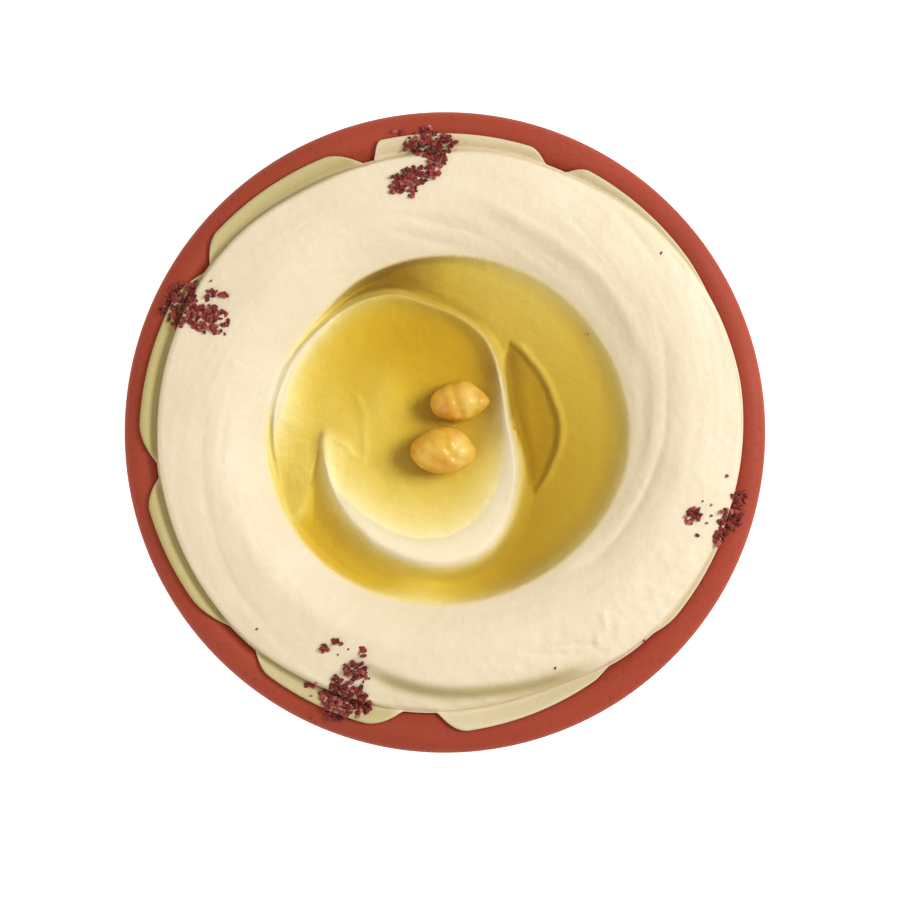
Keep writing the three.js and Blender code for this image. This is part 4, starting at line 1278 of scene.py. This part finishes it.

# %% [markdown]
# ## The sumac
# Sumac falls in pinches: dense in the middle, with a few flakes thrown wide. The points are laid
# out as listed pinches, each a soft oval, and land on whatever lies below. Geometry Nodes put a
# crumb on each point, turned and sized at random, and roughen it so that no two are alike.

# %% Where the flakes lie
# Middle of each pinch, half width, half height, lean in degrees and flakes for each mm2.
PINCHES = [
    (-3.3, 62.9, 5.3, 2.7, 4, 1.5), (-1.5, 59.2, 2.0, 1.6, 0, 1.4), (-6.5, 56.0, 5.4, 2.0, 14, 1.5),
    (-10.4, 54.0, 1.9, 1.9, 0, 1.5), (-7.2, 52.7, 1.1, 1.4, 0, 1.4), (-10.3, 65.2, 1.4, 0.6, 10, 0.9),
    (-3.9, 66.0, 1.7, 0.8, 0, 1.0),
    (-57.6, 28.0, 3.5, 4.9, -14, 1.5), (-61.6, 27.0, 0.8, 1.0, 0, 1.2), (-51.7, 24.5, 4.6, 3.0, -8, 1.5),
    (-51.2, 30.0, 1.0, 1.3, -20, 1.4), (-48.2, 30.2, 0.6, 1.1, 0, 1.3), (-55.0, 32.4, 1.2, 0.7, 0, 1.0),
    (-22.2, -58.8, 5.4, 4.0, 8, 1.5), (-19.2, -52.4, 2.9, 2.2, -20, 1.4), (-23.6, -53.9, 0.9, 1.1, 0, 1.3),
    (-17.4, -59.4, 1.2, 1.6, 0, 1.0), (-26.2, -47.0, 0.9, 0.8, 0, 2.4), (-23.6, -45.6, 1.4, 0.6, -20, 1.8),
    (-17.9, -47.9, 0.8, 1.0, 0, 2.4), (-19.6, -50.1, 0.5, 0.5, 0, 2.4), (-29.4, -55.2, 1.6, 0.7, 0, 0.9),
    (64.1, -14.5, 1.8, 1.9, 0, 1.6), (62.1, -19.1, 2.3, 3.3, -14, 1.5), (60.0, -22.6, 1.5, 1.8, 0, 1.6),
    (53.9, -18.1, 1.9, 1.6, 10, 1.8),
]
# Single flakes: place and size.
STRAYS = [
    (61.5, -9.5, 0.8), (58.0, -15.8, 0.6), (58.0, -18.2, 0.6), (57.1, -19.8, 0.5),
    (55.1, -22.5, 0.8), (43.4, -45.3, 0.6), (47.1, 39.1, 0.6), (31.2, 21.5, 0.4),
    (-41.0, -42.9, 0.6), (24.0, -51.4, 0.5), (-29.2, -57.5, 0.6), (-29.3, -62.3, 0.5),
    (-48.0, 21.4, 0.6), (-21.1, -47.2, 0.5), (-23.3, -48.5, 0.4), (-51.0, 33.0, 0.5),
    (56.2, -15.0, 0.4),
]
FLAKE_SIZE, CROWDING = 0.9, 1.75
PINCH_POWER = 0.55  # above 0.5, flakes lie denser in a pinch's middle
PINCH_SPILL = 1.04  # the furthest flakes lie this little past the pinch's oval
FLAKE_RISE = 0.85  # how far a flake of size 1 can stand above its middle
FLAKE_RADIUS = 0.55  # of a flake of size 1
LAST_FLAKE = 69.0  # no flake's middle lies further out than this


def flake_points(seed=11):
    """Place, size, turn and shade of every flake."""
    chance = random.Random(seed)
    rows = []
    for x, y, half_x, half_y, lean, density in PINCHES:
        angle = math.radians(lean)
        for _ in range(max(2, round(CROWDING * math.pi * half_x * half_y * density))):
            away = chance.random() ** PINCH_POWER * PINCH_SPILL
            around = chance.uniform(0, math.tau)
            u, v = half_x * away * math.cos(around), half_y * away * math.sin(around)
            px = x + u * math.cos(angle) - v * math.sin(angle)
            py = y + u * math.sin(angle) + v * math.cos(angle)
            rows.append((px, py, FLAKE_SIZE * chance.uniform(0.6, 1.3)))
    rows += [(x, y, size) for x, y, size in STRAYS]
    turns = [[chance.uniform(-0.7, 0.7), chance.uniform(-0.7, 0.7), chance.uniform(0, math.tau)]
             for _ in rows]
    shades = [chance.betavariate(1.5, 2.0) for _ in rows]
    return np.array(rows), np.array(turns), np.array(shades)


def surface_below(x, y):
    radius, bearing = np.hypot(x, y), bearing_of(x, y)
    food = hummus_top(x, y) + fine_relief(x, y)
    return np.where(radius < smear_edge(bearing) - 0.2, food, dish_inside(radius))


def flake_object():
    rows, turns, shades = flake_points()
    x, y, size = rows.T
    inside = np.hypot(x, y) < LAST_FLAKE
    x, y, size, turns, shades = x[inside], y[inside], size[inside], turns[inside], shades[inside]
    lift = np.random.default_rng(5).uniform(0.0, 1.0, len(x))
    z = surface_below(x, y) + size * (0.1 + 0.55 * lift)
    z = np.minimum(z, cad_box[1][2] / MM - FLAKE_RISE * size)
    mesh = bpy.data.meshes.new("sumac_flakes")
    mesh.from_pydata((np.stack([x, y, z], 1) * MM).tolist(), [], [])
    stored = [("flake_size", "FLOAT", "value", size * FLAKE_RADIUS * MM),
              ("flake_turn", "FLOAT_VECTOR", "vector", turns.ravel()),
              ("shade", "FLOAT", "value", shades)]
    for name, kind, field, values in stored:
        mesh.attributes.new(name, kind, "POINT").data.foreach_set(field, values)
    piece = bpy.data.objects.new("sumac_flakes", mesh)
    bpy.context.scene.collection.objects.link(piece)
    return piece


print(len(flake_points()[0]), "flakes")

# %% Put a crumb on each point
def crumb_tree():
    tree, given, result = new_tree("crumbs_on_points", [
        ("Roughness", "NodeSocketFloat", 0.5),
        ("Flatness", "NodeSocketFloat", 0.5),
        ("Seed", "NodeSocketInt", 0),
        ("Material", "NodeSocketMaterial", None),
    ])
    link = tree.links.new

    def named(kind, name):
        node = add_node(tree, "GeometryNodeInputNamedAttribute", data_type=kind)
        node.inputs["Name"].default_value = name
        return node.outputs["Attribute"]

    ball = add_node(tree, "GeometryNodeMeshIcoSphere")
    ball.inputs["Radius"].default_value = 1
    ball.inputs["Subdivisions"].default_value = 2
    squash = add_node(tree, "ShaderNodeCombineXYZ")
    squash.inputs["X"].default_value = 1.25
    squash.inputs["Y"].default_value = 0.85
    link(given.outputs["Flatness"], squash.inputs["Z"])
    size = add_node(tree, "ShaderNodeVectorMath", operation="SCALE")
    link(squash.outputs[0], size.inputs[0])
    link(named("FLOAT", "flake_size"), size.inputs["Scale"])
    place = add_node(tree, "GeometryNodeInstanceOnPoints")
    link(given.outputs["Geometry"], place.inputs["Points"])
    link(ball.outputs["Mesh"], place.inputs["Instance"])
    link(named("FLOAT_VECTOR", "flake_turn"), place.inputs["Rotation"])
    link(size.outputs[0], place.inputs["Scale"])
    real = add_node(tree, "GeometryNodeRealizeInstances")
    noise = add_node(tree, "ShaderNodeTexNoise", noise_dimensions="4D")
    noise.inputs["Scale"].default_value = 1500
    link(given.outputs["Seed"], noise.inputs["W"])
    centred = add_node(tree, "ShaderNodeVectorMath", operation="SUBTRACT")
    centred.inputs[1].default_value = (0.5, 0.5, 0.5)
    link(noise.outputs["Color"], centred.inputs[0])
    push = add_node(tree, "ShaderNodeVectorMath", operation="SCALE")
    link(centred.outputs[0], push.inputs[0])
    link(math_node(tree, "MULTIPLY", math_node(tree, "MULTIPLY", given.outputs["Roughness"], 0.004),
                   math_node(tree, "MULTIPLY", named("FLOAT", "flake_size"), 1000)), push.inputs["Scale"])
    move = add_node(tree, "GeometryNodeSetPosition")
    link(push.outputs[0], move.inputs["Offset"])
    smooth = add_node(tree, "GeometryNodeSetShadeSmooth")
    smooth.inputs["Shade Smooth"].default_value = False
    paint = add_node(tree, "GeometryNodeSetMaterial")
    link(given.outputs["Material"], paint.inputs["Material"])
    chain = [place, real, move, smooth, paint, result]
    for first, second in zip(chain, chain[1:]):
        link(first.outputs[0], second.inputs[0])
    return tree


sumac = flake_object()
run_tree(sumac, crumb_tree(), {
    "Roughness": 0.5, "Flatness": 0.55, "Seed": 4, "Material": sumac_material(),
})
print("sumac:", len(sumac.data.polygons), "faces")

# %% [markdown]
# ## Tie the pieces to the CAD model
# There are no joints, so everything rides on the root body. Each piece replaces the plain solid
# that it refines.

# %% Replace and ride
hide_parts("plate")
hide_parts("hummus")
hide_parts("olive_oil")
for piece, slot in [(clay_dish, "clay"), (hummus, "hummus"), (oil, "olive_oil"), (sumac, "sumac"),
                    *[(c, "chickpea") for c in chickpeas]]:
    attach(piece, "root")

# %% [markdown]
# ## Floor, light and camera
# A plain pale floor glows a little, as a lit table does in a bright studio. One large soft
# light stands to the right, a low and much weaker one opposite it lifts the left side, and an
# even sky fills the shadows. The camera looks straight down.

# %% Floor
FLOOR_REACH, FLOOR_GLOW = 3, 0.85
FLOOR_COLORS = [(0.3, (0.80, 0.80, 0.80)), (0.7, (0.84, 0.84, 0.84))]
floor_mesh = bpy.data.meshes.new("floor")
corners = [(x * FLOOR_REACH, y * FLOOR_REACH, 0) for x, y in ((-1, -1), (1, -1), (1, 1), (-1, 1))]
floor_mesh.from_pydata(corners, [], [(0, 1, 2, 3)])
floor = bpy.data.objects.new("floor", floor_mesh)
bpy.context.scene.collection.objects.link(floor)
floor_paint = Finish("pale_floor", 0.9, Specular_IOR_Level=0.1)
floor_paint.color(floor_paint.ramp(floor_paint.grain(3, 2), FLOOR_COLORS))
floor_paint.bsdf.inputs["Emission Color"].default_value = (1, 1, 1, 1)
floor_paint.bsdf.inputs["Emission Strength"].default_value = FLOOR_GLOW
floor_mesh.materials.append(floor_paint.material)
print("floor laid")

# %% Light and camera
SKY_STRENGTH, SKY_COLOR = 0.575, (1, 0.95, 0.84, 1)
FOCUS_HEIGHT = 0.03  # the lights face this height, and the frame's width is measured at it
LIGHT_DISTANCE = 0.8
# Azimuth and elevation in degrees, size in metres, power in watts, colour.
LIGHTS = {
    "window_right": (18, 43, 0.38, 4.25, (0.96, 0.98, 1.0)),
    "fill_left": (215, 20, 0.40, 0.9, (1.0, 0.97, 0.9)),
}


def add_area(name, azimuth, elevation, size, watts, color):
    lamp = bpy.data.lights.new(name, "AREA")
    lamp.shape = "DISK"
    lamp.size, lamp.energy, lamp.color = size, watts, color
    holder = bpy.data.objects.new(name, lamp)
    a, e = math.radians(azimuth), math.radians(elevation)
    away = Vector((math.cos(e) * math.cos(a), math.cos(e) * math.sin(a), math.sin(e)))
    holder.location = away * LIGHT_DISTANCE + Vector((0, 0, FOCUS_HEIGHT))
    holder.rotation_euler = away.to_track_quat("Z", "Y").to_euler()
    bpy.context.scene.collection.objects.link(holder)


for name, values in LIGHTS.items():
    add_area(name, *values)
sky = bpy.data.worlds.new("sky")
sky.use_nodes = True
background = sky.node_tree.nodes["Background"]
background.inputs["Color"].default_value = SKY_COLOR
background.inputs["Strength"].default_value = SKY_STRENGTH
bpy.context.scene.world = sky

FRAME_WIDTH = 0.1963
LENS, SENSOR_WIDTH = 400.0, 36.0
CAMERA_X, CAMERA_Y = 0.00109, -0.00384
camera_data = bpy.data.cameras.new("camera")
camera_data.lens, camera_data.sensor_width = LENS, SENSOR_WIDTH
camera = bpy.data.objects.new("camera", camera_data)
camera.location = (CAMERA_X, CAMERA_Y, FOCUS_HEIGHT + FRAME_WIDTH * LENS / SENSOR_WIDTH)
bpy.context.scene.collection.objects.link(camera)
bpy.context.scene.camera = camera
bpy.context.scene.view_settings.view_transform = "Standard"
print("camera height:", round(camera.location.z, 3), "m")
